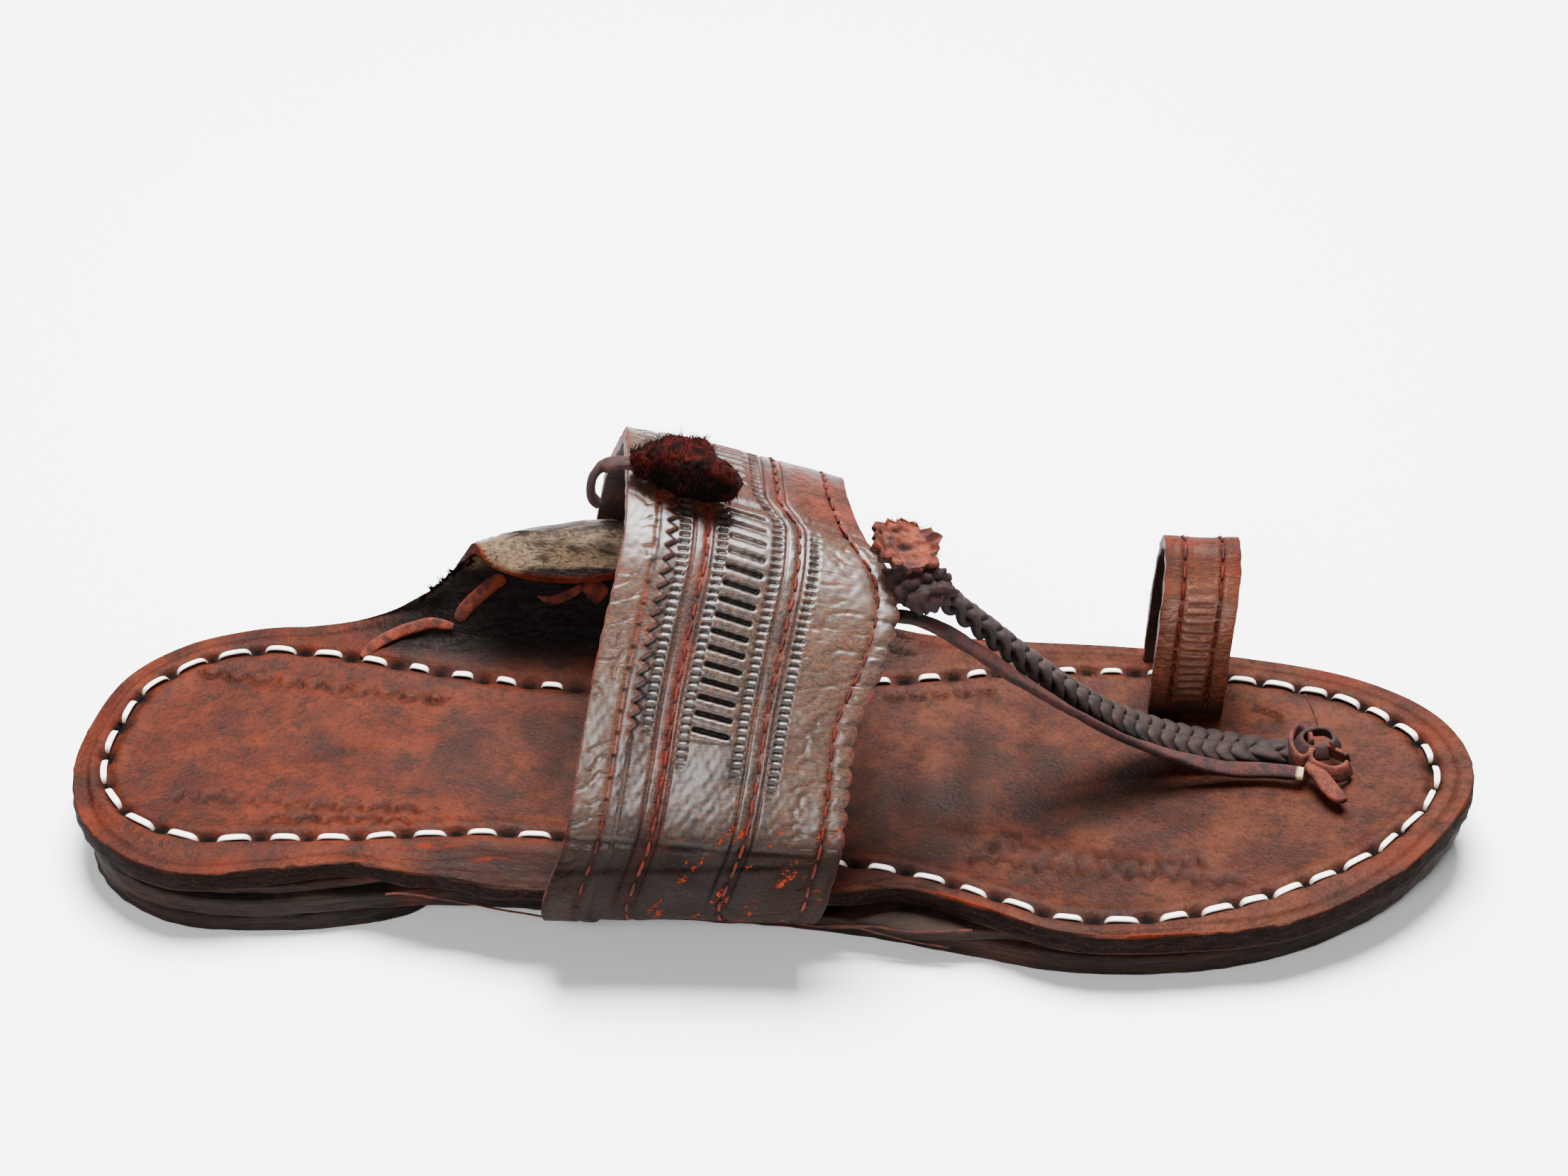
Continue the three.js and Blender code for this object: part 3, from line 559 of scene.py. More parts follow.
# %% One recipe for raw hide, lacing, thong, plait, thread and fuzz, and the white strip's own
def raw_finish(name, dull, bright, depth=0.35, shine=0.3):
    leather = Finish(name)
    patch = leather.noise(2.6, detail=4, rough=0.65)
    fibre = leather.noise(0.6, detail=4, rough=0.75, warp=1.5)
    hide = leather.layered(
        leather.blend(patch.over(0.35, 0.65), dull, bright),
        (fibre.over(0.5, 0.75) * 0.5, tuple(part * 0.22 for part in dull)),
        # the dark mask: painted shade in hollows and underneath on the knots, plait, thread, thong and
        # rosette; the piece's own darker colour where it is even
        (leather.mask("dark"), dye(18, 9, 7)),
        (leather.mask("pale"), dye(226, 196, 148, 0.6, 1)),
    )
    skin = leather.relief((fibre, depth), (patch, depth))
    return leather.surface(hide, (0.55 + fibre * 0.35).kept(), skin, Specular_IOR_Level=shine)


def strip_finish():
    strip = Finish("white strip")
    soil = strip.noise(1.2, detail=4)
    white = strip.layered(
        dye(244, 240, 232, 0.9, 1),
        (soil.over(0.45, 0.8) * 0.35, dye(196, 178, 156, 0.9, 1)),
        ((strip.mask("end") * (0.7 + soil * 0.6)).kept(), dye(150, 92, 58)),
    )
    skin = strip.relief((soil, 0.1))
    return strip.surface(white, (0.45 + soil * 0.2).kept(), skin, Specular_IOR_Level=0.45)


FINISH = {
    "seat": seat_finish(),
    "sole": sole_finish(),
    "strap": strap_finish(),
    "raw": raw_finish("raw hide", dye(116, 46, 24), dye(192, 104, 62)),
    "lacing": raw_finish("orange lacing", dye(110, 46, 18), dye(188, 92, 34), 0.3, 0.3),
    "thong": raw_finish("dark thong", dye(66, 26, 18), dye(120, 48, 32), 0.25, 0.3),
    "plait": raw_finish("plaited strands", dye(54, 36, 28), dye(88, 56, 42), 0.12, 0.25),
    "thread": raw_finish("orange thread", dye(98, 35, 16), dye(164, 66, 28), 0.15, 0.2),
    "fuzz": raw_finish("maroon fuzz", dye(44, 20, 17), dye(108, 46, 38), 0.2, 0.03),
    "strip": strip_finish(),
}
print("finishes:", sorted(FINISH))

# %% [markdown]
# ## The plies under the seat
# Each ply is cut from thick hide with a knife, so its edge is rough, a little wavy, and dark. The edge
# is pushed in and out with noise that is long along the edge and short across it, like split fibres.

# %% Make a ply
EDGE_STEPS = 9


def nothing(*_):
    return 0.0


def ply(name, rows, under, over, count, bevel, nodes, seed, inset=nothing, lift=nothing, raw=nothing):
    """A flat ply between two heights, its edge drawn in by inset and lifted where lift says."""
    sides = two_sides(rows, count)
    shares = [0, 0.5, 0.8, 0.93]
    rings = [(share, 0.0) for share in shares + [1] * EDGE_STEPS] + [(share, 1.0) for share in shares[::-1]]
    halves = []
    for side, other in (sides, sides[::-1]):
        half = []
        for number, (share, low) in enumerate(rings):
            climb = np.clip((number - len(shares)) / (EDGE_STEPS - 1), 0, 1)
            corner = 1 - np.sqrt(np.clip(1 - (2 * climb - 1) ** 6, 0, 1))
            drawn = inset(side) + bevel * corner * (share == 1) + bevel * (share < 1)
            x, y = side["x"] - side["out_x"] * drawn, side["y"] - side["out_y"] * drawn
            mid_x = (x + other["x"] - other["out_x"] * inset(other)) / 2
            mid_y = (y + other["y"] - other["out_y"] * inset(other)) / 2
            x, y = mix(mid_x, x, share), mix(mid_y, y, share)
            z = mix(over(x), under(x), climb)
            if share == 1:
                rough = wobble(stack(x, y, z * 9), 9, seed) * 0.25
                rough = rough + wobble(stack(x, y, z * 6), 2.2, seed) * 0.18
                x, y = x + side["out_x"] * rough, y + side["out_y"] * rough
            half.append(stack(x, y, z + lift(side, share), raw(side, share, climb), low))
        halves.append(np.array(half))
    full = np.concatenate([halves[0], halves[1][::-1]]).transpose(1, 0, 2)
    build(name, [full[..., :3]], {"raw": full[..., 3], "tread": full[..., 4]}, "sole", nodes, pointed=True)

# %% Outsole, midsole and lift
def midsole_inset(side):
    waist = smoothstep(70, 92, side["x"]) * (1 - smoothstep(160, 182, side["x"]))
    return 1.6 - np.where(side["y"] < 0, waist * 5, 0)


def midsole_arch(side, share):
    """The thin ply buckles up under the outer wing, where the foot has worked it loose."""
    outer_edge = smoothstep(0.4, 1, share) * (side["y"] < 0)
    return 2.2 * hump(side["x"], 80, 15) * outer_edge


def midsole_raw(side, share, climb):
    torn = hump(side["x"], 78, 14) + 0.6 * hump(side["x"], 205, 8)
    return np.clip(torn * (side["y"] < 0) * (climb < 0.6) * (share > 0.9), 0, 1)


def outsole_raw(side, share, _):
    place = stack(side["x"], side["y"], 0 * side["x"])
    return np.clip(wobble(place, 14, 5) * 0.8 - 0.35, 0, 0.25) * (share == 1)


ply("outsole_cut", PLY_EDGE, outsole_under, lambda x: midsole_under(x) - GAP, 620, 0.5, ["outsole"], 1,
    raw=outsole_raw)
ply("midsole_cut", PLY_EDGE, midsole_under, lambda x: insole_under(x) - GAP, 560, 0.3, ["midsole"], 2,
    midsole_inset, midsole_arch, midsole_raw)
ply("heel_lift_cut", LIFT_EDGE, lambda x: 0 * x, lambda x: outsole_under(x) - GAP, 320, 0.5, ["heel_lift"], 3)

# %% [markdown]
# ## The seat and its wings
# The seat is one hide with the wings cut in one with it. From the seam outwards the leather bends up
# by each station's turn, and at the top of the inner wing it folds back in. Walking along the leather
# in small steps and turning a little at each step gives that curve for every station at once.

# %% Walk out along the margin's leather
WING_BEND, FLAP_BEND, FLAP_TURN = 13, 7, 0.93 * math.pi


def margin_walk(side, length):
    """How far out and up the leather reaches after a length of it, and its slope there."""
    steps = 40
    reach, rise, angle = 0, 0, 0
    for step in range(steps):
        s = length * (step + 0.5) / steps
        angle = np.radians(side["turn"]) * np.minimum(1, s / WING_BEND)
        angle = angle + FLAP_TURN * np.clip((s - side["margin"]) / FLAP_BEND, 0, 1)
        reach = reach + np.cos(angle) * length / steps
        rise = rise + np.sin(angle) * length / steps
    return reach, rise, angle

# %% How far points of the seat are from its seam
def from_seam(rows, x, y, count=900):
    """Distance from the seam for points on the seat, and how far round the seam the nearest one is."""
    t = np.arange(count) / count
    line = through(rows, t, closed=True)
    flat = np.stack([x.ravel(), y.ravel()], 1)
    near = np.empty(len(flat), int)
    for start in range(0, len(flat), 4000):
        part = flat[start: start + 4000]
        gap = (part[:, :1] - line["x"]) ** 2 + (part[:, 1:] - line["y"]) ** 2
        near[start: start + 4000] = gap.argmin(1)
    away = np.hypot(flat[:, 0] - line["x"][near], flat[:, 1] - line["y"][near])
    return away.reshape(x.shape), t[near].reshape(x.shape)

# %% Where the white stitches sit on the seam
STITCH_PITCH_HEEL, STITCH_PITCH_TOE = 9.3, 7.4
SEAM_T = np.linspace(0, 1, 6001)
seam_line = through(SEAM, SEAM_T, closed=True)
seam_steps = np.hypot(np.diff(seam_line["x"]), np.diff(seam_line["y"]))
SEAM_RUN = np.concatenate([[0], np.cumsum(seam_steps)])
SEAM_LONG = SEAM_RUN[-1]


def stitch_places():
    """How far round the seam the middle of every white stitch is, one pitch after another."""
    walked = [0.0]
    while walked[-1] < SEAM_LONG:
        x = np.interp(walked[-1], SEAM_RUN, seam_line["x"])
        walked.append(walked[-1] + mix(STITCH_PITCH_HEEL, STITCH_PITCH_TOE, smoothstep(200, 225, x)))
    places = np.array(walked[:-1]) * SEAM_LONG / walked[-1]
    return places + 0.5 * np.sin(7.3 * np.arange(len(places)))


stitches = stitch_places()
print(len(stitches), "stitches on a seam", round(float(SEAM_LONG)), "mm long")

# %% Rows of crescents stamped inside the seam, and the ridge that the foot has pressed up
CRESCENTS = table("x0 y0 x1 y1 gap size turn", [
    (26, -13.4, 68, -15.8, 5.2, 1.9, 1),
    (44, -19.8, 70, -19.2, 5.6, 2.0, 1),
    (24, 27.0, 72, 20.6, 5.0, 2.0, -1),
    (174, -24.2, 222, -28.8, 4.1, 2.1, 1),
    (178, -19.8, 216, -23.6, 3.9, 2.0, 1),
    (158, 26.8, 176, 29.4, 4.4, 1.5, -1),
])


def crescents(x, y):
    """Depth of the stamped crescents, 0 to 1, at points of the seat."""
    depth = np.zeros_like(x)
    rows = zip(*CRESCENTS.values())
    for x0, y0, x1, y1, gap, size, turn in rows:
        for place in np.arange(0, math.hypot(x1 - x0, y1 - y0), gap):
            share = place / math.hypot(x1 - x0, y1 - y0)
            cx, cy = mix(x0, x1, share), mix(y0, y1, share) + 0.4 * math.sin(5 * place)
            close = (abs(x - cx) < 3 * size) & (abs(y - cy) < 3 * size)
            dx, dy = x[close] - cx, (y[close] - cy) * turn
            radius = np.hypot(dx, dy)
            arc = np.exp(-(((radius - size) / 0.5) ** 2)) * smoothstep(-0.5 * size, 0.6 * size, dy)
            bowl = 0.45 * smoothstep(size, 0.2 * size, radius) * (0.7 + 0.3 * math.sin(3 * place))
            depth[close] = np.where(arc > bowl, np.maximum(depth[close], arc), depth[close] - bowl)
    return depth


print(len(CRESCENTS["x0"]), "rows of crescents")

# The ridge that the foot has pressed up between the ball and the stamped border
RIDGE = table("x y", [(166, -15), (176, -16.5), (188, -19.4), (198, -22.5), (208, -23)])


def trodden(x, y):
    """A soft ridge, 0 to 1, beside the print of the ball."""
    line = np.interp(x, RIDGE["x"], RIDGE["y"])
    ends = smoothstep(160, 174, x) * smoothstep(212, 200, x)
    return hump(y, line + 0.8 * np.sin(x / 2.3), 1.9) * ends - 0.8 * hump(y, line + 6, 5) * ends

# %% Lay the seat out: rings from the middle line to the seam, and from there out along the margin
def seat_rings():
    inside = [(share, 0, 0) for share in np.concatenate([np.linspace(0, 0.6, 12), np.linspace(0.64, 1, 18)])]
    margin = [(1, share, 0) for share in np.linspace(0, 1, 22)[1:]]
    return inside + margin + [(1, 1, share) for share in np.linspace(0, 1, 9)[1:]]


def seat_side(side, other, ring):
    """One ring of one side: points of the upper face, and the leather's slope and thickness there."""
    share, margin_share, flap_share = ring
    x = mix((side["x"] + other["x"]) / 2, side["x"], share)
    y = mix((side["y"] + other["y"]) / 2, side["y"], share)
    flap = np.where(side["flap"] < 0.1, 0, side["flap"])
    length = margin_share * side["margin"] + flap_share * flap
    reach, rise, angle = margin_walk(side, length)
    out_x, out_y = side["out_x"] * reach, side["out_y"] * reach
    dish = SEAT_DISH * (1 - share**3)
    height = np.where(share < 1, seat_top(x) - dish, seat_top(x) + toe_spring(x + out_x) - toe_spring(x))
    full = thickness("insole", side["x"])
    thick = mix(full, np.minimum(full, side["edge"]), np.clip(2 * length / side["margin"], 0, 1))
    return stack(x + out_x, y + out_y, height + rise), angle, thick, length, flap

# %% Both faces of the seat, before tooling
COUNT = 520
UNDER_RINGS = [0, 10, 20, 29, 32, 35, 38, 41, 43, 45, 46, 47, 48, 49, 50, 51, 52, 53, 54, 55, 56, 57, 58]
sides = two_sides(SEAM, COUNT)
upper, under, lengths = [], [], []
for side, other in (sides, sides[::-1]):
    rings = [seat_side(side, other, ring) for ring in seat_rings()]
    upper.append(np.array([ring[0] for ring in rings]))
    lengths.append(np.array([ring[3] for ring in rings]))
    below = []
    for number in UNDER_RINGS:
        point, angle, thick, length, flap = rings[number]
        if number <= 29:
            below.append(stack(point[..., 0], point[..., 1], insole_under(point[..., 0])))
            continue
        out = stack(side["out_x"] * np.sin(angle), side["out_y"] * np.sin(angle), -np.cos(angle))
        past = length - side["margin"]
        turned = smoothstep(-16, 0, past) * smoothstep(8, 14, side["margin"])
        wrinkle = 0.35 * wobble(stack(side["x"], 2 * past, 0 * past) / (5, 1, 1), 1.4, 15)
        wrinkle = wrinkle + 0.5 * wobble(stack(side["x"], past, 0 * past), 6, 16)
        below.append(point + out * (thick + wrinkle * turned)[..., None])
    under.append(np.array(below))
print("seat rings:", upper[0].shape, "underneath:", under[0].shape)

# %% Creases of the wings, each a line in millimetres along the sandal and out from the seam
INNER_CREASES = table("x0 out0 x1 out1 wide deep", [
    (50, 9.6, 71, 14.6, 0.8, 0.7), (58, 6, 82, 9, 0.9, 0.45), (70, 15, 97, 17.2, 0.7, 0.6),
    (84, 7.4, 108, 8.8, 0.8, 0.4), (88, 12, 112, 12.6, 1.0, 0.45), (92, 22, 98, 14, 0.6, 0.5),
    (99, 23, 104, 13, 0.5, 0.4), (76, 20, 96, 22.6, 0.9, 0.4), (66, 5, 98, 5.2, 0.7, 0.35),
    (64, 18, 72, 21, 0.8, 0.6), (146, 8, 164, 6, 0.8, 0.5), (150, 12, 162, 9.4, 0.7, 0.4),
])
OUTER_CREASES = table("x0 out0 x1 out1 wide deep", [
    (56, 4.6, 92, 7.4, 0.7, 0.45), (64, 8.4, 98, 12.6, 0.8, 0.6), (80, 4.4, 100, 5.4, 0.7, 0.4),
    (86, 15, 100, 17, 0.9, 0.5), (142, 9.6, 164, 4, 0.9, 0.6), (148, 5, 168, 2.8, 0.6, 0.4),
    (190, 3, 214, 3.4, 0.5, 0.35), (214, 5, 236, 5.6, 0.6, 0.35), (22, 5.4, 46, 5.2, 0.6, 0.35),
])
SEAT_CREASES = table("x0 out0 x1 out1 wide deep", [
    (226, 24.8, 233.4, 20, 0.55, 1.0), (150, -16, 155, 15, 2.2, 0.3), (161, -14, 165, 18, 2.4, 0.35),
    (172, -8, 176, 20, 2.2, 0.28), (184, 4, 188, 24, 2.0, 0.22), (92, -12, 96, 14, 2.6, 0.25),
    (36, -4, 62, 6, 2.4, 0.18), (196, -6, 224, -12, 1.6, 0.2), (206, 14, 228, 8, 1.4, 0.2),
])


print("creases:", [len(rows["x0"]) for rows in (INNER_CREASES, OUTER_CREASES, SEAT_CREASES)])


def creased(rows, x, out):
    """Soft troughs with a low ridge beside each, along the listed lines: x along, out across."""
    height = np.zeros_like(x)
    for x0, out0, x1, out1, wide, deep in zip(*rows.values()):
        run = np.array([x1 - x0, out1 - out0])
        long = math.hypot(*run)
        along = ((x - x0) * run[0] + (out - out0) * run[1]) / long
        bow = 0.05 * long * np.sin(math.pi * np.clip(along / long, 0, 1)) + 0.4 * np.sin(along / 2.7)
        off = ((out - out0) * run[0] - (x - x0) * run[1]) / long - bow
        fade = smoothstep(0, 0.2 * long, along) * smoothstep(long, 0.8 * long, along)
        height = height + deep * fade * (0.4 * hump(off, 2.1 * wide, 1.2 * wide) - hump(off, 0, wide))
    return height

# %% Press the tool marks and the wear into the upper face
SEAT_SEAM, SEAT_HOLE, SEAT_SWELL, SEAT_STAMP, SEAT_LINE, SEAT_RIDGE = 0.6, 0.7, 0.3, 1.0, 0.3, 0.8


def seat_relief(points, length, side):
    """Height to add along the normal, and the masks, for one side of the upper face."""
    x, y = points[..., 0], points[..., 1]
    flat = stack(x, y, 0 * x)
    margin = np.broadcast_to(side["margin"], x.shape)
    flap = np.broadcast_to(side["flap"], x.shape)
    inner_side = side["y"].mean() > 0
    away, round_t = from_seam(SEAM, x, y)
    away = np.where(length > 0, length, away)
    seat = length <= 0
    walked = np.interp(round_t, SEAM_T, SEAM_RUN)[..., None]
    from_stitch = np.abs((walked - stitches + SEAM_LONG / 2) % SEAM_LONG - SEAM_LONG / 2).min(-1)
    pitch = mix(STITCH_PITCH_HEEL, STITCH_PITCH_TOE, smoothstep(200, 225, x)) / 2
    hole = hump(from_stitch, pitch, 1.6) * hump(away, 0, 1.3)
    seam = hump(away, 0.3, 0.9)
    swell = hump(away, 2.6, 1.4)
    stamped = crescents(x, y) * seat
    wing = smoothstep(0.02, 0.35, length / np.maximum(margin, 1)) * smoothstep(10, 15, margin)
    on_flap = smoothstep(-2.5, 1.5, length - margin) * smoothstep(1, 5, flap)
    line = hump(length - margin, -2.6, 0.35) * smoothstep(2, 4, length) * (margin < 12)
    wave = wobble(flat, 16, 3) * 0.35 + wobble(flat, 5, 4) * 0.1
    pleat = 0.5 * np.sin(x / 2.1 + 1.4 * wobble(flat, 12, 8)) * on_flap
    height = -SEAT_SEAM * seam - SEAT_HOLE * hole + SEAT_SWELL * swell - SEAT_STAMP * stamped
    height = height - SEAT_LINE * line + wave * (0.4 + wing)
    worn_lines = creased(SEAT_CREASES, x, y) * seat
    height = height + SEAT_RIDGE * trodden(x, y) * seat + worn_lines
    height = height + pleat + creased(INNER_CREASES if inner_side else OUTER_CREASES, x, length)
    rub = wobble(flat, 11, 6)
    torn = hump(x, 72, 6) * hump(length, 4.2, 0.7) + 0.8 * hump(x, 84, 4) * hump(length, 9.6, 0.7)
    torn = torn * smoothstep(-0.4, 0.5, wobble(flat, 1.5, 33))
    torn = torn + 0.6 * hump(x, 170, 7) * smoothstep(-1.2, -0.2, length - margin)
    torn = torn + 0.7 * hump(x, 204, 8) * smoothstep(-1.0, 0.0, length - margin)
    torn = torn * (not inner_side) + 0.9 * smoothstep(-1.2, 0, length - margin - flap) * on_flap
    heel = smoothstep(120, 40, x)
    # darker patches at the ball, under the braid and under the strap: partly dirt, partly painted shadow of
    # the strap and braid
    smudge_and_shadow = 0.8 * hump(x, 183, 36) * hump(y, -2 + 6 * rub, 8)
    smudge_and_shadow = smudge_and_shadow + 0.4 * hump(x, 150, 10) + 0.5 * hump(x, 112, 30)
    # painted shade: darker in the stitch holes, the seam's groove, the stamped crescents, the scored line and
    # the troughs of the creases
    dark = 0.95 * hole + 0.3 * seam + 0.5 * stamped + 0.35 * line - 0.7 * np.minimum(worn_lines, 0)
    masks = {
        "dark": np.clip(dark, 0, 1),
        "raw": np.clip(torn + 0.25 * np.maximum(0, rub) * (1 - wing) * (length > 1), 0, 1),
        "warm": np.clip(heel + 0.45 * hump(y, -26, 12) * smoothstep(200, 150, x) + 0.3 * rub, 0, 1),
        "wing": wing if inner_side else wing * 0.75, "flap": on_flap, "smudge_and_shadow": np.clip(smudge_and_shadow * seat, 0, 1),
        "rim": np.zeros_like(x),
    }
    return height, masks

# %% The cut edge, and both sides of the seat from the upper face over that edge to the back
def rim_points(top, below, outward, seed):
    """Rows over the cut edge between the upper face and the back, rough like split fibres."""
    rows = []
    for angle in np.radians([40, 75, 105, 140]):
        middle, half = (top + below) / 2, (top - below) / 2
        point = middle + half * np.cos(angle) + outward * 0.35 * np.sin(angle)
        rough = 0.3 * wobble(point * (1, 1, 6), 2.4, seed) + 0.3 * wobble(point * (1, 1, 4), 9, seed)
        rows.append(point + outward * rough[..., None])
    return np.array(rows)


halves = []
for number, side in enumerate(sides):
    face = normals(upper[number])
    face = face * np.sign(face[..., 2:].mean())
    other = sides[1 - number]
    across = np.hypot(side["x"] - other["x"], side["y"] - other["y"])
    squeezed = (smoothstep(10, 3, across) * (lengths[number] <= 0))[..., None]
    face = mix(face, np.array([0, 0, 1.0]), squeezed)
    height, masks = seat_relief(upper[number], lengths[number], side)
    top = upper[number] + face * height[..., None]
    outward = stack(side["out_x"], side["out_y"], 0 * side["x"])
    rim = rim_points(top[-1], under[number][-1], outward, 0)
    points = np.concatenate([top, rim, under[number][::-1]])
    low_length = lengths[number][UNDER_RINGS[::-1]]
    past = low_length - side["margin"]
    winged = smoothstep(8, 14, side["margin"])
    edge_rows, low_rows = np.zeros(rim.shape[:-1]), 0 * past
    on_top = smoothstep(-5, -1, past) * smoothstep(0.5, 6, side["flap"])
    torn = smoothstep(-1.1, -0.2, past - side["flap"]) * smoothstep(2, 6, side["flap"])
    backs = {"flap": (edge_rows, on_top), "wing": (edge_rows, winged + low_rows),
             "raw": (edge_rows + 0.8 * torn[:1], torn), "rim": (edge_rows + 1, 0.4 * (1 - winged) + low_rows)}
    full = {}
    for name, mask in masks.items():
        rows = backs.get(name, (edge_rows, low_rows))
        full[name] = np.concatenate([mask, *rows])
    halves.append((points, full))

seat_points = np.concatenate([halves[0][0], halves[1][0][::-1]]).transpose(1, 0, 2)
seat_masks = {name: np.concatenate([halves[0][1][name], halves[1][1][name][::-1]]).T for name in halves[0][1]}
build("seat", [seat_points], seat_masks, "seat", ["insole"], pointed=True)

# %% [markdown]
# ## White stitches
# The plies are sewn with a flat strip of white leather. Each stitch stands up as a low arch and dives
# into a hole at both ends, where it is stained by the dye.

# %% Make the stitches
STITCH_PARTS = np.linspace(-1, 1, 13)
STRIP_WIDE, STRIP_THICK, STRIP_SUNK = 1.24, 0.48, 0.35


def stitch(here, number):
    """A flat arched strip as rows of a rounded section."""
    middle = outline_at(SEAM, np.interp(here % SEAM_LONG, SEAM_RUN, SEAM_T))
    toe_side = smoothstep(200, 225, middle["x"])
    inner = smoothstep(5, 20, middle["y"]) * smoothstep(50, 62, middle["x"]) * (1 - toe_side)
    half = 3.0 - 0.8 * inner + 0.4 * smoothstep(45, 25, middle["x"])
    half = half * (1 + 0.07 * math.sin(3.1 * number))
    wide = STRIP_WIDE / 2 + 0.08 * math.sin(5.7 * number)
    rows = []
    for part in STITCH_PARTS:
        at = outline_at(SEAM, np.interp((here + part * half) % SEAM_LONG, SEAM_RUN, SEAM_T))
        lean = 0.3 * math.sin(2.3 * number) * part
        arch = 0.5 * (1 - abs(part) ** 3) - 0.8 * part**8
        narrow = wide * (1 - 0.45 * part**4)
        ring = []
        for angle in np.linspace(0, 2 * math.pi, 12, endpoint=False):
            c, s = math.cos(angle), math.sin(angle)
            off = narrow * math.copysign(abs(c) ** 0.5, c) + lean + 0.25
            up = STRIP_THICK / 2 * math.copysign(abs(s) ** 0.6, s)
            ring.append((at["x"] + at["out_x"] * off, at["y"] + at["out_y"] * off,
                         seat_top(at["x"]) + arch - STRIP_SUNK + up))
        rows.append(ring)
    return np.array(rows, float)


grids = [stitch(here, number) for number, here in enumerate(stitches)]
build("white_stitches", grids, {"end": smoothstep(0.62, 1, abs(STITCH_PARTS))[:, None]}, "strip")

# %% [markdown]
# ## The instep strap
# Two layers of oiled hide, tooled before assembly. From the back edge forwards: a border that ends in
# a pinked edge, rows of small beads from a wheel, scored lines, a ladder of cut slots in the middle
# with a bead row on each side, and a plain front band whose edge is cut in scallops. The tooling is
# worked out in millimetres along (s) and across (t) the strap, so it bends with the leather.

# %% The strap's stations
STRAP = table("y back_x back_z front_x front_z", [
    (-33.6, 98, 10.9, 142, 9.8), (-38.4, 96.6, 12.3, 143.4, 12), (-41.8, 95.2, 15.4, 145.2, 16.8),
    (-42.8, 96.8, 21.6, 146.6, 22.4), (-40.8, 99.8, 29.6, 148.6, 28.6), (-35, 101.8, 39.4, 149.6, 36),
    (-27.2, 103.6, 49.8, 150.8, 44.4), (-18.6, 106, 60, 155.4, 52), (-8, 108.4, 68.4, 157, 58.4),
    (3.6, 108.4, 73, 150.4, 62.4), (14.6, 107.4, 73, 147.4, 62.6), (25, 106.4, 69.6, 146.4, 59.6),
    (34.6, 104.8, 62, 145.6, 53.4), (42.2, 101.6, 51.6, 144.8, 45), (45.9, 99.2, 40.4, 144.2, 36),
    (45.6, 97.4, 29.6, 144, 27), (44.7, 96.6, 20, 143.8, 19),
])
STRAP_THICK, STRAP_SWELL = 2.6, 1.2


def strap_at(u, v):
    """The strap's foot side: u from the tucked outer end to the inner one, v from back to front."""
    row = through(STRAP, u)
    swell = STRAP_SWELL * np.sin(np.pi * v) * smoothstep(0.2, 0.5, u) * (1 - smoothstep(0.75, 1, u))
    x, z = mix(row["back_x"], row["front_x"], v), mix(row["back_z"], row["front_z"], v)
    return stack(x, row["y"], z + swell)

# %% Rings round any sheet of leather: outer face, cut edges and foot side
def sheet_skin(at, u, v):
    """Points of a sheet's foot side, and the way out of the sheet at each."""
    u, v = np.broadcast_arrays(u, v)
    step = 1e-3
    along = at(np.clip(u + step, 0, 1), v) - at(np.clip(u - step, 0, 1), v)
    across = at(u, np.clip(v + step, 0, 1)) - at(u, np.clip(v - step, 0, 1))
    return at(u, v), unit(np.cross(across, along))


def run_along(at, v, count=1600):
    """How far along the sheet each u is, and its width there."""
    u = np.linspace(0, 1, count)
    line = at(u, v)
    steps = np.linalg.norm(np.diff(line, axis=0), axis=1)
    width = np.linalg.norm(at(u, 1.0) - at(u, 0.0), axis=-1)
    return u, np.concatenate([[0], np.cumsum(steps)]), width


def sheet_rings(at, u, v, height, thick, masks, foot_columns, seed):
    """Closed rings round a sheet: tooled outer face, front edge, foot side and back edge."""
    skin, out = sheet_skin(at, u[:, None], v)
    outer = skin + out * (thick + height)[..., None]
    foot_v = v[:, :1] + (v[:, -1:] - v[:, :1]) * np.linspace(1, 0, foot_columns)
    foot = sheet_skin(at, u[:, None], foot_v)[0]
    across = unit(outer[:, -1] - outer[:, 0])
    parts = [outer]
    for start, finish, way in ((outer[:, -1], foot[:, 0], 1), (foot[:, -1], outer[:, 0], -1)):
        if way < 0:
            parts.append(foot)
        for share in (0.15, 0.5, 0.85):
            point = mix(start, finish, share)
            rough = 0.18 * wobble(point, 1.6, seed) + 0.15 * wobble(point, 6, seed + 1) + 0.12
            parts.append((point + across * (way * rough)[:, None])[:, None])
    points = np.concatenate(parts, axis=1)
    full = {}
    for name, mask in masks.items():
        # the cut edges are redder; the foot side is duller and darker, which is painted shade under the sheet
        edge, inside = {"red": (1.0, 0.3), "dull": (0.2, 0.75)}.get(name, (0.0, 0.0))
        sides = [np.full((len(u), 3), edge), np.full((len(u), foot_columns), inside)]
        full[name] = np.concatenate([np.broadcast_to(mask, v.shape), *sides, sides[0]], axis=1)
    return points, full

# %% Where the strap's tooling runs
STRAP_ROWS = 540
SLOT_MIDDLE, SLOT_PITCH, SLOT_SLANT = 22.1, 2.9, 0.16
KINK_FROM, KINK_TO, KINK = 83, 91, 3.7
BEAD_PITCH, SAW_PITCH, SCALLOP_PITCH, THREAD_PITCH = 1.45, 2.45, 4.0, 3.7
SEWN = (5.9, 15.0, 31.4)

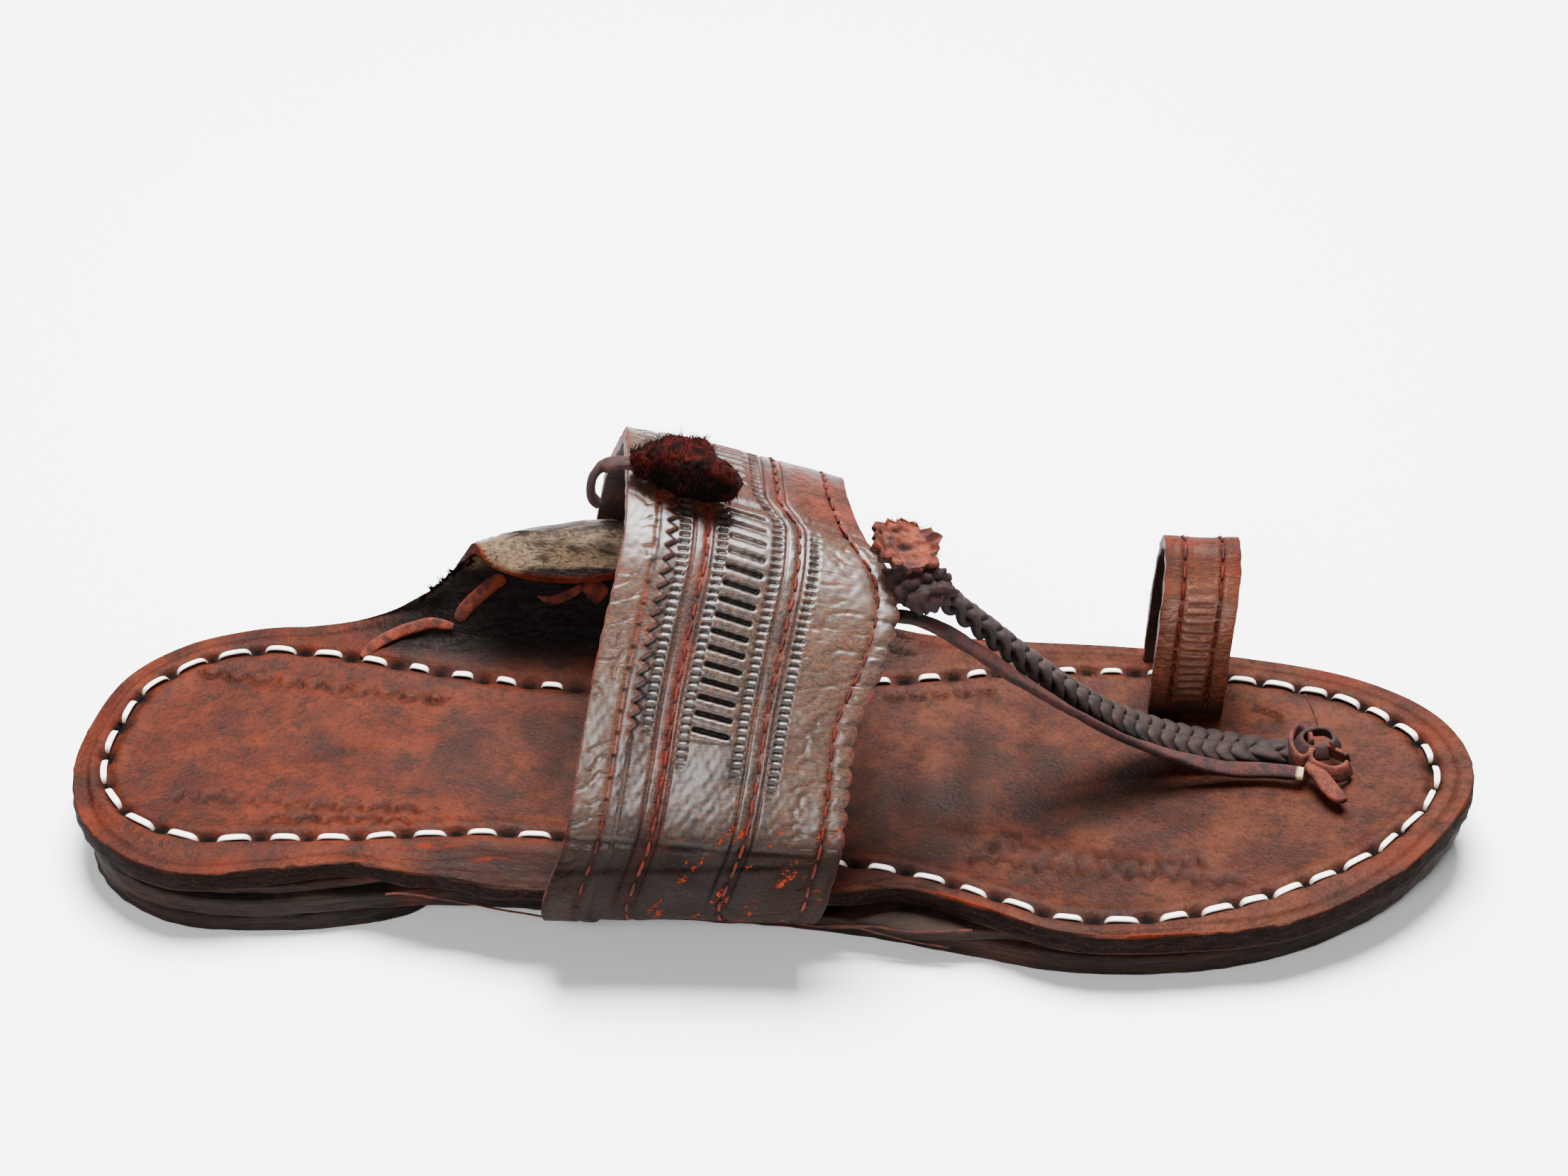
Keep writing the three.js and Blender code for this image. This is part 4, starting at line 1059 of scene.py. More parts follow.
fine_u, fine_s, fine_w = run_along(strap_at, 0.5)
strap_long = fine_s[-1]
s = np.linspace(0, strap_long, STRAP_ROWS)
u = np.interp(s, fine_s, fine_u)
w = np.interp(s, fine_s, fine_w)
pattern = np.concatenate([np.arange(0, 36.01, 0.3), 36 + np.linspace(0, 1, 29)[1:]])
patterned = pattern <= 36.01


def kink(along):
    """The tooling swerves back by this much where the strap bends over the instep."""
    return KINK * smoothstep(KINK_FROM, KINK_TO, along)


def scallop(along):
    """How deep the front edge is notched."""
    lobe = abs(np.sin(math.pi * along / SCALLOP_PITCH))
    return 0.95 * (1 - lobe**0.7) * smoothstep(22, 30, along) * smoothstep(80, 72, along)


S, P = np.meshgrid(s, pattern, indexing="ij")
W, K = w[:, None], kink(s)[:, None]
shifted = P - K * smoothstep(8, 14, P)
share = np.clip(P - 36, 0, 1)
T = np.where(patterned, shifted, mix(36 - K, W - scallop(s)[:, None], share))
from_front = W - T
print("the strap is", round(float(strap_long), 1), "mm long and up to", round(float(w.max()), 1), "mm wide")


def box(value, half, soft):
    """1 where the value is within half of zero, 0 outside, with a soft wall between."""
    return smoothstep(half + soft / 2, half - soft / 2, abs(value))


def beat(value, pitch):
    """Distance to the nearest multiple of the pitch."""
    return (value / pitch + 0.5) % 1 * pitch - pitch / 2

# %% Border, bead rows, scored lines, ladder and sewn grooves, all pressed into one height
BEAD_ROWS = [(10.9, 43, 150), (17.6, 38, 150), (27.5, 36, 150), (34.2, 34, 88)]
SCORED = (12.6, 16.2, 29.1, 32.7)
BORDER_RISE, BEAD_DEEP, SCORE_DEEP, SLOT_DEEP, PILLOW_RISE, SEAM_DEEP = 0.62, 0.42, 0.38, 1.0, 0.22, 0.3

tooled = smoothstep(38, 46, S)
saw = 1.8 * (1 - abs(beat(S, SAW_PITCH)) / (SAW_PITCH / 2)) * tooled
border_edge = mix(8.3, 7.5 + saw, tooled)
height = BORDER_RISE * smoothstep(border_edge + 0.3, border_edge - 0.1, P)
beads, lines = 0, 0
for middle, start, stop in BEAD_ROWS:
    here = smoothstep(start - 3, start + 3, S) * smoothstep(stop, stop - 12, S)
    beads = beads + here * box(P - middle, 0.85, 0.5) * box(beat(S + middle, BEAD_PITCH), 0.34, 0.5)
height = height - BEAD_DEEP * beads
for middle in SCORED:
    lines = lines + hump(P, middle, 0.24) * smoothstep(10, 20, S)
height = height - SCORE_DEEP * lines
near_slot = beat(S - 43.5 + SLOT_SLANT * (P - SLOT_MIDDLE), SLOT_PITCH)
in_ladder = smoothstep(41.5, 42.2, S) * (1 - smoothstep(85, 85.6, S) * smoothstep(91, 90.4, S))
in_ladder = in_ladder * smoothstep(138, 136, S) * (1 - 0.55 * box(S - 83, 8, 4) - 0.4 * smoothstep(90, 94, S))
slots = box(P - SLOT_MIDDLE, 3.25, 0.5) * box(near_slot, 0.42, 0.5) * in_ladder
pillow = box(P - SLOT_MIDDLE, 4, 2) * (1 - hump(near_slot, 0, 0.9)) * in_ladder
height = height - SLOT_DEEP * slots + PILLOW_RISE * pillow
sewing = sum(hump(P, middle, 0.5) for middle in SEWN) + hump(from_front, 3.9, 0.5)
height = height - SEAM_DEEP * sewing
swollen = hump(from_front, 1.8, 1.4) * smoothstep(24, 34, S) * smoothstep(84, 76, S)
height = height + 0.25 * swollen * abs(np.sin(math.pi * S / SCALLOP_PITCH)) ** 0.6
print("tooling from", round(float(height.min()), 2), "to", round(float(height.max()), 2), "mm")

# %% Creases where the strap bends, wrinkles over its dry bands, and a slightly uneven hide
CREASE_DEEP, CRACK_DEEP = 0.7, 0.26

spot = stack(S, T, 0 * S)
beside_ladder = 1 - tooled * box(P - 20, 9, 3)
creases = hump(S + 0.05 * T, 24.8, 0.7) + 0.8 * hump(S - 0.03 * T, 19.4, 0.6)
creases = (creases + 0.5 * hump(S + 0.06 * T, 88, 0.9)) * (0.6 + 0.4 * wobble(spot, 7, 12))
# the bands: cracked dry leather, which the finish also paints paler as painted sheen
bands = smoothstep(6.5, 5, P) + smoothstep(34, 37, P) * smoothstep(0.5, 2, from_front)
cracked = 1 - np.clip(abs(wobble(spot / (1.4, 6.0, 1), 1, 21)) / 0.1, 0, 1)
cracked = cracked * bands * smoothstep(0.2, -0.1, wobble(spot, 9, 5) - 0.3)
height = height - CREASE_DEEP * creases - CRACK_DEEP * cracked
pebbled = smoothstep(14, 24, S) * (1 - 0.5 * tooled * box(P - 20, 9, 3))
pebbles = 0.035 * wobble(spot / (0.8, 1.2, 1), 1, 61) + 0.03 * wobble(spot / (1, 0.75, 1), 0.9, 62)
height = height + pebbled * pebbles
height = height + 0.35 * wobble(spot, 13, 9) + 0.06 * wobble(spot, 3.2, 10) * beside_ladder
print("with creases from", round(float(height.min()), 2), "to", round(float(height.max()), 2), "mm")

# %% Where the strap is red, dark, torn, dry or dull, where shade and sheen are painted on it, and the strap itself
wear_and_painted_light = wobble(spot, 0.9, 31) * 0.6 + wobble(spot, 3.4, 32) * 0.6
flaked = smoothstep(0.42, 0.6, wear_and_painted_light) * box(S - 17, 11, 7) * smoothstep(16, 26, T)
gaps = box(beat(S - 0.2, THREAD_PITCH) - 1.5, 0.4, 0.4) * sewing
top = smoothstep(80, 90, S) * smoothstep(122, 104, S)
red = 0.9 * sewing + hump(T, 0, 0.55) + hump(from_front, 0, 0.6) + 0.55 * lines + 0.65 * hump(P, 14.4, 1.7)
red = red + tooled * 0.9 * hump(P - border_edge, -0.35, 0.55) + 0.5 * top * smoothstep(3, 7, P)
red = red * (0.75 + 0.4 * wobble(spot, 6, 41)) + 0.5 * top * smoothstep(34, 37, P)
notch = 0.6 * (1 - abs(np.sin(math.pi * S / SCALLOP_PITCH)) ** 0.6) * swollen
behind_saw = tooled * box(P - border_edge - 0.55, 0.4, 0.35)
# painted shade: darker in the slots, bead pits, scored lines, thread holes, the step behind the pinked
# border, the creases and the scallop notches
dark = slots + 0.75 * beads + 0.5 * lines + 0.95 * gaps + 0.9 * behind_saw + 0.45 * creases + notch
masks = {
    "red": np.clip(red, 0, 1), "raw": np.clip(flaked, 0, 1), "dark": np.clip(dark, 0, 1),
    # dull: duller and darker towards the lower end, painted shade there, and a little at the crest
    "dry_and_painted_sheen": np.clip(bands + 0.25, 0, 1), "dull": smoothstep(33, 20, S) + 0.2 * top, "along": S, "across": T,
}
rings, full = sheet_rings(strap_at, u, T / W, height, STRAP_THICK, masks, 14, 50)
build("strap", [rings], full, "strap", ["instep_strap"])

# %% [markdown]
# ## Sewing thread
# The strap's two layers are joined by four lines of waxed orange-red thread. Every stitch is a short
# cord that rises out of one hole and dives into the next.

# %% Cords
def cord(path, wide, high, up=(0, 0, 1), sides=8, square=1.0):
    """Rows of a rounded section along a path, wide to the side and high upwards."""
    path = np.asarray(path, float)
    run = unit(np.gradient(path, axis=0))
    side = unit(np.cross(run, np.broadcast_to(up, path.shape)))
    over = np.cross(side, run)
    angle = np.linspace(0, 2 * math.pi, sides, endpoint=False)
    round_x = np.sign(np.cos(angle)) * abs(np.cos(angle)) ** square
    round_y = np.sign(np.sin(angle)) * abs(np.sin(angle)) ** square
    wide, high = np.broadcast_to(wide, len(path)), np.broadcast_to(high, len(path))
    sideways = side[:, None] * (wide[:, None] / 2 * round_x)[..., None]
    return path[:, None] + sideways + over[:, None] * (high[:, None] / 2 * round_y)[..., None]


def smooth_path(points, count):
    return np.stack(list(through(table("x y z", points), np.linspace(0, 1, count)).values()), -1)

# %% Sew lines of thread on a sheet, and the strap's four
def on_sheet(at, runs, thick, s, t, height):
    """Points at a height over a sheet's outer face, and the way out there."""
    fine_u, fine_s, fine_w = runs
    u, w = np.interp(s, fine_s, fine_u), np.interp(s, fine_s, fine_w)
    skin, out = sheet_skin(at, u, t / w)
    return skin + out * (thick + np.asarray(height))[..., None], out


def sew(name, at, runs, thick, pitch, short, seams):
    """Thread stitches one pitch apart, ending short of the sheet's end.

    A seam has a line across in millimetres, a start, a thread width, and a seed for its unevenness.
    """
    grids = []
    share = np.linspace(-1, 1, 9)
    for across, start, wide, seed in seams:
        for number, begin in enumerate(np.arange(start, runs[1][-1] - short, pitch)):
            long = pitch * (0.76 + 0.1 * math.sin(4.1 * number + seed))
            s = begin + long * (share + 1) / 2
            t = across(s) + 0.12 * share * math.sin(2.7 * number + seed)
            path, out = on_sheet(at, runs, thick, s, t, 0.1 * (1 - share**4) - 0.4 * share**8 - 0.16)
            thin = wide * (1 - 0.3 * share**6)
            grids.append(cord(path, thin, thin * 0.8, out, sides=6))
    # painted shade: each stitch darkens at its ends, where it dives into the holes
    build(name, grids, {"dark": smoothstep(0.45, 1, abs(share))[:, None]}, "thread")


seams = [(lambda s, middle=middle: middle - kink(s) * smoothstep(8, 14, middle), 7.4, 0.62, number)
         for number, middle in enumerate(SEWN)]
seams.append((lambda s: np.interp(s, fine_s, fine_w) - 3.9, 11.1, 0.6, 7))
sew("strap_thread", strap_at, (fine_u, fine_s, fine_w), STRAP_THICK, THREAD_PITCH, 6, seams)

# %% [markdown]
# ## The toe loop
# A narrow strap made like the big one: two sewn grooves, and cross ridges pressed between them.

# %% The loop and its thread
LOOP = table("y z x", [
    (24.2, 12.3, 206.8), (22.8, 20, 206.9), (22.2, 30.4, 207.3), (23.6, 39.4, 207.9), (28.6, 44.6, 208.3),
    (34, 42.2, 208.2), (37.4, 35, 207.8), (38.6, 24, 207.2), (38.2, 12.3, 206.8),
])
LOOP_THICK, LOOP_WIDTH = 2.4, 14
LOOP_SEWN, RIB_MIDDLE, RIB_PITCH = (3.6, 10.7), 7.2, 1.9


def loop_at(u, v):
    row = through(LOOP, u)
    return stack(row["x"] + LOOP_WIDTH * v, row["y"], row["z"])


loop_runs = run_along(loop_at, 0.5)
loop_long = loop_runs[1][-1]
s = np.linspace(0, loop_long, 330)
u = np.interp(s, loop_runs[1], loop_runs[0])
S, T = np.meshgrid(s, np.linspace(0, LOOP_WIDTH, 57), indexing="ij")
spot = stack(S, T, 0 * S)
grooves = sum(hump(T, middle, 0.5) for middle in LOOP_SEWN)
ribbed = box(T - RIB_MIDDLE, 2.5, 0.8)
ribs = ribbed * (0.5 + 0.5 * np.cos(2 * math.pi * S / RIB_PITCH + 0.5 * wobble(spot, 4, 2)))
ribs = ribs * smoothstep(2, 5, S) * smoothstep(31, 26, S)
height = -0.5 * grooves + 0.42 * ribs - 0.15 * ribbed + 0.2 * wobble(spot, 8, 3)
cracked = 1 - np.clip(abs(wobble(spot / (1.2, 3.5, 1), 1, 4)) / 0.16, 0, 1)
height = height - 0.15 * cracked * (1 - box(T - RIB_MIDDLE, 2.8, 0.6)) * smoothstep(30, 24, S)
crown = smoothstep(24, 34, S)
masks = {
    "red": np.clip(grooves + hump(T, 0, 0.9) + hump(T, 14, 1.1) + 0.5 * crown + 0.3, 0, 1),
    "raw": 0.3 * hump(T, 14, 0.5) * smoothstep(0, 0.4, wobble(spot, 3, 6)),
    # painted shade between the ribs and in the sewn grooves
    "dark": np.clip(0.12 * (ribbed - ribs) * smoothstep(31, 26, S) + 0.1 * grooves, 0, 1),
    # dull: duller and darker at the foot, painted shade where it meets the seat, and on the crown
    "dry_and_painted_sheen": 1.0, "dull": smoothstep(6, 0, S) + 0.4 * crown,
    # painted light on the legs, rising from the foot and stopping short of the crown
    "wear_and_painted_light": 0.75 * smoothstep(0, 14, S) * (1 - crown), "along": S, "across": T,
}
rings, full = sheet_rings(loop_at, u, T / LOOP_WIDTH, height, LOOP_THICK, masks, 8, 60)
build("loop", [rings], full, "strap", ["toe_loop"])
seams = [(lambda s, middle=middle: middle + 0 * s, 1, 0.6, number) for number, middle in enumerate(LOOP_SEWN)]
sew("loop_thread", loop_at, loop_runs, LOOP_THICK, 3.2, 3, seams)

# %% [markdown]
# ## Braid, thong and knot
# Three strands weave over and under each other: each swings from side to side once in a turn, and up
# and down twice. The plait is loose near the strap and tight at the toe. Beside it runs a plain flat
# thong, and a knot of raw thong ties both down.

# %% The braid
BRAID = table("x y z wide high", [
    (163.6, -5.6, 60.2, 4.6, 4.6), (169.4, -3.8, 53.8, 5.2, 4.8), (175, -1.8, 47.4, 6, 5),
    (183.2, 1.2, 37.8, 7, 5), (191.6, 4.2, 28.8, 8, 4.8), (200, 6.6, 21.8, 8.8, 4.6),
    (209.6, 8.2, 16.8, 9.2, 4.6), (219, 8.8, 14.4, 8.8, 4.2), (229, 8.2, 14.2, 7, 3.6),
])


def track(rows, count):
    """A table's curve: its points, the ways forward, sideways and over, and the length walked."""
    line = through(rows, np.linspace(0, 1, count))
    path = stack(line["x"], line["y"], line["z"])
    run = unit(np.gradient(path, axis=0))
    side = unit(np.cross(run, (0, 0, 1)))
    walked = np.concatenate([[0], np.cumsum(np.linalg.norm(np.diff(path, axis=0), axis=1))])
    return path, run, side, np.cross(side, run), walked, line


path, run, side, over, walked, line = track(BRAID, 340)
PLAIT_WIDE, PLAIT_THICK = 4.0, 1.8
turn_length = mix(13.0, 9.0, smoothstep(0.15, 0.7, walked / walked[-1]))
turns = np.concatenate([[0], np.cumsum(np.diff(walked) / turn_length[1:])])
gathered = smoothstep(0.9, 1, walked / walked[-1])
strands, darks = [], []
for strand in range(3):
    phase = 2 * math.pi * (turns + strand / 3)
    swing = (line["wide"] - 3.4) / 2 * np.sin(phase) * (1 - 0.5 * gathered)
    lift = (line["high"] - 2.1) / 2 * 0.85 * np.sin(2 * phase)
    centre = path + side * swing[:, None] + over * lift[:, None] + run * (4 * gathered**2)[:, None]
    lean = over + side * (0.55 * np.sin(phase) * np.abs(np.cos(phase)))[:, None]
    strands.append(cord(centre, PLAIT_WIDE, PLAIT_THICK, lean, sides=16, square=0.7))
    # painted shade where a strand dips under the others
    darks.append(np.clip(-0.55 * np.sin(2 * phase), 0, 1)[:, None])
build("plait", strands, {"dark": darks}, "plait", ["braid"])

# %% The thong beside it
THONG = table("x y z wide", [
    (156.4, -10, 56.6, 2.6), (160.6, -9.6, 55.8, 2.8), (166, -8.7, 52.6, 2.9), (172.3, -7.2, 47, 3),
    (181.7, -4.8, 38, 3.2), (195.3, -1.4, 26.4, 3.2), (207, 1, 18.8, 3.2), (219, 2, 14.4, 3.2),
    (228, 2, 14, 3), (234.4, 0.4, 14.6, 2.4),
])
path, run, side, over, walked, line = track(THONG, 150)
twist = 0.5 * np.sin(walked / 11)
lean = over * np.cos(twist)[:, None] + side * np.sin(twist)[:, None]
grid = cord(path, line["wide"], 1.7, lean, sides=18, square=0.6)
grid = grid + 0.14 * wobble(grid, 2.2, 4)[..., None] * over[:, None]
cut = smoothstep(walked[-1] - 1.3, walked[-1] - 0.8, walked)
# painted shade where the thong comes out from under the knot; the pale mask is its cut end
masks = {"dark": 0.3 * hump(walked, 0, 9)[:, None], "pale": cut[:, None]}
build("thong", [grid], masks, "thong", ["toe_thong"])

# %% The knot at the toe: flat thong wound round the braid's end, and a cut end that stands off
def wind(centre, radius, wide, high, tilt, first=0, last=330, lean=0.0, count=46):
    """Part of a flattened ring of flat thong, from the first to the last degree."""
    angle = np.radians(np.linspace(first, last, count))
    x, y = np.cos(angle) * radius[0], np.sin(angle) * radius[1]
    ring = stack(centre[0] + x, centre[1] + y, centre[2] + tilt[0] * x + tilt[1] * y)
    up = stack(-lean * np.cos(angle), -lean * np.sin(angle), 1 + 0 * angle)
    grid = cord(ring, wide, high, up, sides=14, square=0.55)
    return grid + 0.22 * wobble(grid, 1.8, first + 3)[..., None] * (0.4, 0.4, 1)


LOOSE_END = [(235.6, 1.6, 15.9), (237, -1, 15.7), (238.6, -4, 15), (239.8, -6.2, 14.8), (240.8, -8, 15)]
knots = {
    "raw": [wind((234.4, 6.8, 15.6), (1.9, 4.4), 1.1, 4.4, (0.1, 0.05)),
            wind((239.2, 2.9, 15.6), (3.9, 3.2), 1.1, 3.4, (-0.12, 0.1), 20, 350, 0.35)],
    "lacing": [cord(LOOSE_END, (2.6, 3.2, 3.6, 3.2, 2.2), (1.8, 1.7, 1.5, 1.5, 1.2), sides=14, square=0.6)],
    "thong": [wind((237.4, 7.2, 17.0), (3.6, 2.9), 1.0, 3.0, (0.05, 0.15), -40, 300, 0.5)],
}
for finish, grids in knots.items():
    # a darker base colour, and painted shade towards the seat at the bottom
    low = [0.3 + 0.4 * smoothstep(14.4, 13.2, grid[..., 2]) for grid in grids]
    nodes = ["toe_knot"] if finish == "raw" else ()
    build("knot_" + finish, grids, {"dark": low}, finish, nodes, "raw_leather")

# %% [markdown]
# ## Rosette, tuft and lacing
# A pinked and torn disc of raw hide covers the strap's front peak, on a dark knot. On the crest sits
# a wedge of leather whose suede has gone to fluff, and its thong hooks over the strap's edge. Orange
# lacing runs in and out of the inner wing.

# %% The rosette
ROSETTE_CENTRE, ROSETTE_FACE = (158.6, -5, 68.6), (0.3, -0.34, 0.9)
ROSETTE_RADIUS, ROSETTE_TEETH = 6.6, 14


face = unit(ROSETTE_FACE)
level = unit(np.cross((0, 1, 0), face))
square = np.cross(face, level)
shares = np.concatenate([np.linspace(0.02, 1, 26), np.linspace(1, 0.02, 14)])
under = np.arange(len(shares)) > 25
angles = np.linspace(0, 2 * math.pi, 140, endpoint=False)
share, angle = np.meshgrid(shares, angles, indexing="ij")
flat = stack(share * np.cos(angle) * 6, share * np.sin(angle) * 6, 0 * share)
tooth = abs(beat(angle, 2 * math.pi / ROSETTE_TEETH)) / (math.pi / ROSETTE_TEETH)
ragged = 1 - 0.16 * tooth * smoothstep(0.6, 1, share)
ragged = ragged + 0.1 * wobble(flat, 3, 3) * share + 0.05 * wobble(flat, 1.1, 5)
radius = share * ROSETTE_RADIUS * ragged
cup = 1.5 * share**2 * (1 + 0.7 * np.sin(angle * 2 + 1)) - 1.3 * np.exp(-((share / 0.16) ** 2))
cup = cup + 0.55 * wobble(flat, 2.4, 7) + 0.25 * wobble(flat, 0.9, 8) - 0.5
cup = np.where(under[:, None], -1.5 + 0.3 * cup, cup)
points = np.array(ROSETTE_CENTRE) + level * (radius * np.cos(angle))[..., None]
points = points + square * (radius * 0.86 * np.sin(angle))[..., None] + face * cup[..., None]
# painted shade in the dimple at the centre and on the underside, over darker patches of the hide
darker = hump(share, 0, 0.17) + 0.9 * under[:, None] + 0.4 * smoothstep(0.2, 0.6, wobble(flat, 1.5, 9))
build("rosette_disc", [points], {"dark": np.clip(darker, 0, 1)}, "raw", ["rosette"])

# %% A lump of fluffy leather: a ball pushed out of shape by noise
def lump(centre, half, run, rough, size, rows=44, columns=56, seed=0):
    x = unit(run)
    y = unit(np.cross((0, 0, 1), x))
    z = np.cross(x, y)
    pitch = np.linspace(0.03, math.pi - 0.03, rows)[:, None]
    turn = np.linspace(0, 2 * math.pi, columns, endpoint=False)[None, :]
    ball = stack(np.cos(pitch) + 0 * turn, np.sin(pitch) * np.cos(turn), np.sin(pitch) * np.sin(turn))
    shape = ball * half
    push = 1 + rough * (wobble(shape, size, seed) + 0.5 * wobble(shape, size / 2.2, seed + 1))
    shape = shape * push[..., None]
    return np.array(centre) + shape[..., :1] * x + shape[..., 1:2] * y + shape[..., 2:] * z


knot = lump((161.6, -6.6, 61), (5.8, 4.8, 4.2), (1, 0.1, -0.35), 0.3, 1.1)
build("rosette_knot_ball", [knot], {"dark": 0.45}, "thong", ["rosette_knot"])

# %% Fibres: many short hairs that stand off a surface and curl
def hairs(roots, ways, long, wide, seed, rows=5, sag=0.3):
    grids = []
    for number, (root, way) in enumerate(zip(roots, ways)):
        bend = np.array([math.sin(3.3 * number + seed), math.sin(5.1 * number + 2), math.sin(1.7 * number)])
        share = np.linspace(0, 1, rows)[:, None]
        length = long * (0.55 + 0.45 * math.sin(7.7 * number + seed))
        path = root + (way * share + bend * 0.5 * share**2 - np.array([0, 0, sag]) * share**2) * length
        taper = wide * (1.15 - share[:, 0])
        grids.append(cord(path, taper, taper, (0.3, 0.2, 1), sides=3))
    return grids

# %% The tuft on the crest: a folded wedge with a flat, fluffy top and a sharp far corner
TUFT = table("x y z wide high", [
    (109, 4, 79, 3.2, 3), (112.4, 4.2, 79.4, 7, 5.2), (116, 4.2, 79.3, 10, 7.2), (120, 4, 78.5, 12, 8),
    (123.6, 3.8, 77.4, 12.6, 7.6), (126.4, 3.6, 76.2, 12.2, 6),
])
path, run, side, over, walked, line = track(TUFT, 80)
ends = np.clip((1 - (2 * walked / walked[-1] - 1) ** 16), 0.1, 1) ** 0.5
body = cord(path, line["wide"] * ends, line["high"] * ends, over, sides=60, square=0.55)
away = unit(body - path[:, None])
slant = 3.2 * smoothstep(0.35, 1, walked / walked[-1])[:, None]
fluff = 0.5 * wobble(body, 3.1, 2) + 0.35 * wobble(body, 1.3, 3) + 0.25 * wobble(body, 0.6, 4)
body = body + away * fluff[..., None] - stack(slant * away[..., 1], 0 * away[..., 1], 0 * away[..., 1])
floor_of_tuft = (path[:, 2] - line["high"] * 0.5)[:, None]
body[..., 2] = np.maximum(body[..., 2], floor_of_tuft)
shade = smoothstep(0.75, 0.1, away[..., 2]) * (1 - 0.7 * smoothstep(0.8, 1, walked / walked[-1])[:, None])
shade = np.clip(shade - 0.5 * fluff, 0, 0.97)
build("tuft_body", [body], {"dark": shade}, "fuzz", ["tuft"])

# %% The tuft's fibres, and the thong that hooks over the strap's edge
HAIRS = 2600
chosen = np.random.default_rng(7)
rows = chosen.integers(4, 79, HAIRS)
columns = chosen.integers(0, 60, HAIRS)
keep = away[rows, columns][:, 2] > -0.3
roots = (body - away * 0.3)[rows, columns][keep]
build("tuft_fibres", hairs(roots, away[rows, columns][keep], 2.1, 0.14, 3), {"dark": 0.0}, "fuzz")
HOOK = [(110.4, 3.6, 79), (107.6, 3, 79.8), (104.8, 2.4, 79.4), (102.9, 2, 77.6), (102.3, 1.8, 75.2),
        (102.5, 1.9, 73), (103.6, 2.2, 71.6)]
hook = cord(smooth_path(HOOK, 50), 2.6, 1.7, (1, 0, 0.6), 16, 0.7)
hook = hook + 0.15 * wobble(hook, 1.6, 8)[..., None] * (0.4, 1, 0.4)
build("tuft_hook", [hook], {"dark": 0.25}, "thong", ["tuft_thong"])

# %% Orange lacing in and out of the inner wing
LACING = [
    ([(52.8, 32.2, 14.2), (55.6, 34.6, 15.8), (59.3, 36.7, 16.9), (63, 37.5, 18), (66.4, 37.6, 18.9),
      (70.7, 36.6, 18.9)], 2.4),
    ([(71.6, 37.4, 19.6), (73, 38.3, 22), (76.4, 39.1, 25.4), (79, 39.6, 27.6), (81, 40.2, 28.2)], 3.0),
    ([(86.4, 39.4, 27.2), (88.4, 38.6, 25.4), (91, 37.6, 25.2), (94, 37.6, 26.6), (96.6, 38, 28.4)], 2.0),
    ([(97.2, 38.2, 29.4), (98.8, 37.8, 27.6), (100.4, 37.8, 25.6)], 4.2),
]
grids = []
for number, (points, wide) in enumerate(LACING):
    path = smooth_path(points, 60)
    taper = 1 - 0.55 * abs(np.linspace(-1, 1, 60)) ** 5
    grid = cord(path, wide * taper, 1.3 * taper, (0.1, -0.75, 0.65), sides=14, square=0.6)
    grids.append(grid + 0.2 * wobble(grid, 1.8, number)[..., None] * (0.3, -0.7, 0.7))
build("lacing", grids, {"dark": 0.0}, "lacing")

# %% Fluff where the wing's edge and the rosette's rim are torn
place = np.linspace(0, 1, 260)
edge = smooth_path([(63.8, 40, 21.9), (67, 41.2, 24.8), (71, 42.2, 28.3), (75.6, 42.8, 32)], 260)
edge = edge + 0.7 * stack(wobble(edge, 0.7, 1), wobble(edge, 0.6, 2), wobble(edge, 0.5, 3))
ways = stack(0.7 * np.sin(40 * place), -0.4 + 0.4 * np.sin(31 * place), 0.8 + 0 * place)
grids = hairs(edge, ways, 1.7, 0.42, 5, sag=0.1)
rim_turn = np.linspace(0, 2 * math.pi, 170)
rim = np.array(ROSETTE_CENTRE) + level * (5.6 * np.cos(rim_turn))[:, None]
rim = rim + square * (4.9 * np.sin(rim_turn))[:, None] + face * 0.2
out = level * np.cos(rim_turn)[:, None] + square * np.sin(rim_turn)[:, None] + face * 0.3
grids += hairs(rim, out, 1.7, 0.14, 9, sag=0.2)
build("torn_fluff", grids, {"dark": 0.6}, "fuzz")

# %% Loose fibres at the waist and on the wing's edge
LOOSE = [
    ([(112, -37.4, 9.2), (124, -37.6, 8.4), (138, -37.2, 7.6), (150, -37, 7), (162, -38.4, 7.2),
      (172, -39.4, 8.6)], 0.55),
    ([(140, -37, 7.4), (150, -36.6, 6), (160, -38, 4.8), (168, -39, 3.6)], 0.4),
    ([(66, -36, 11), (76, -36.4, 11.2), (88, -38, 9.8), (100, -39, 8.8)], 0.45),
    ([(237.6, 9.6, 18.4), (236.6, 11.4, 21), (235, 13, 24)], 0.3),
]
grids = []
for number, (points, wide) in enumerate(LOOSE):
    path = smooth_path(points, 40)
    path = path + 0.5 * stack(0 * path[:, 0], wobble(path, 4, number), wobble(path, 5, number + 9))
    grids.append(cord(path, wide, wide * 0.7, sides=7))
build("loose_fibres", grids, {"dark": 0.5}, "lacing")

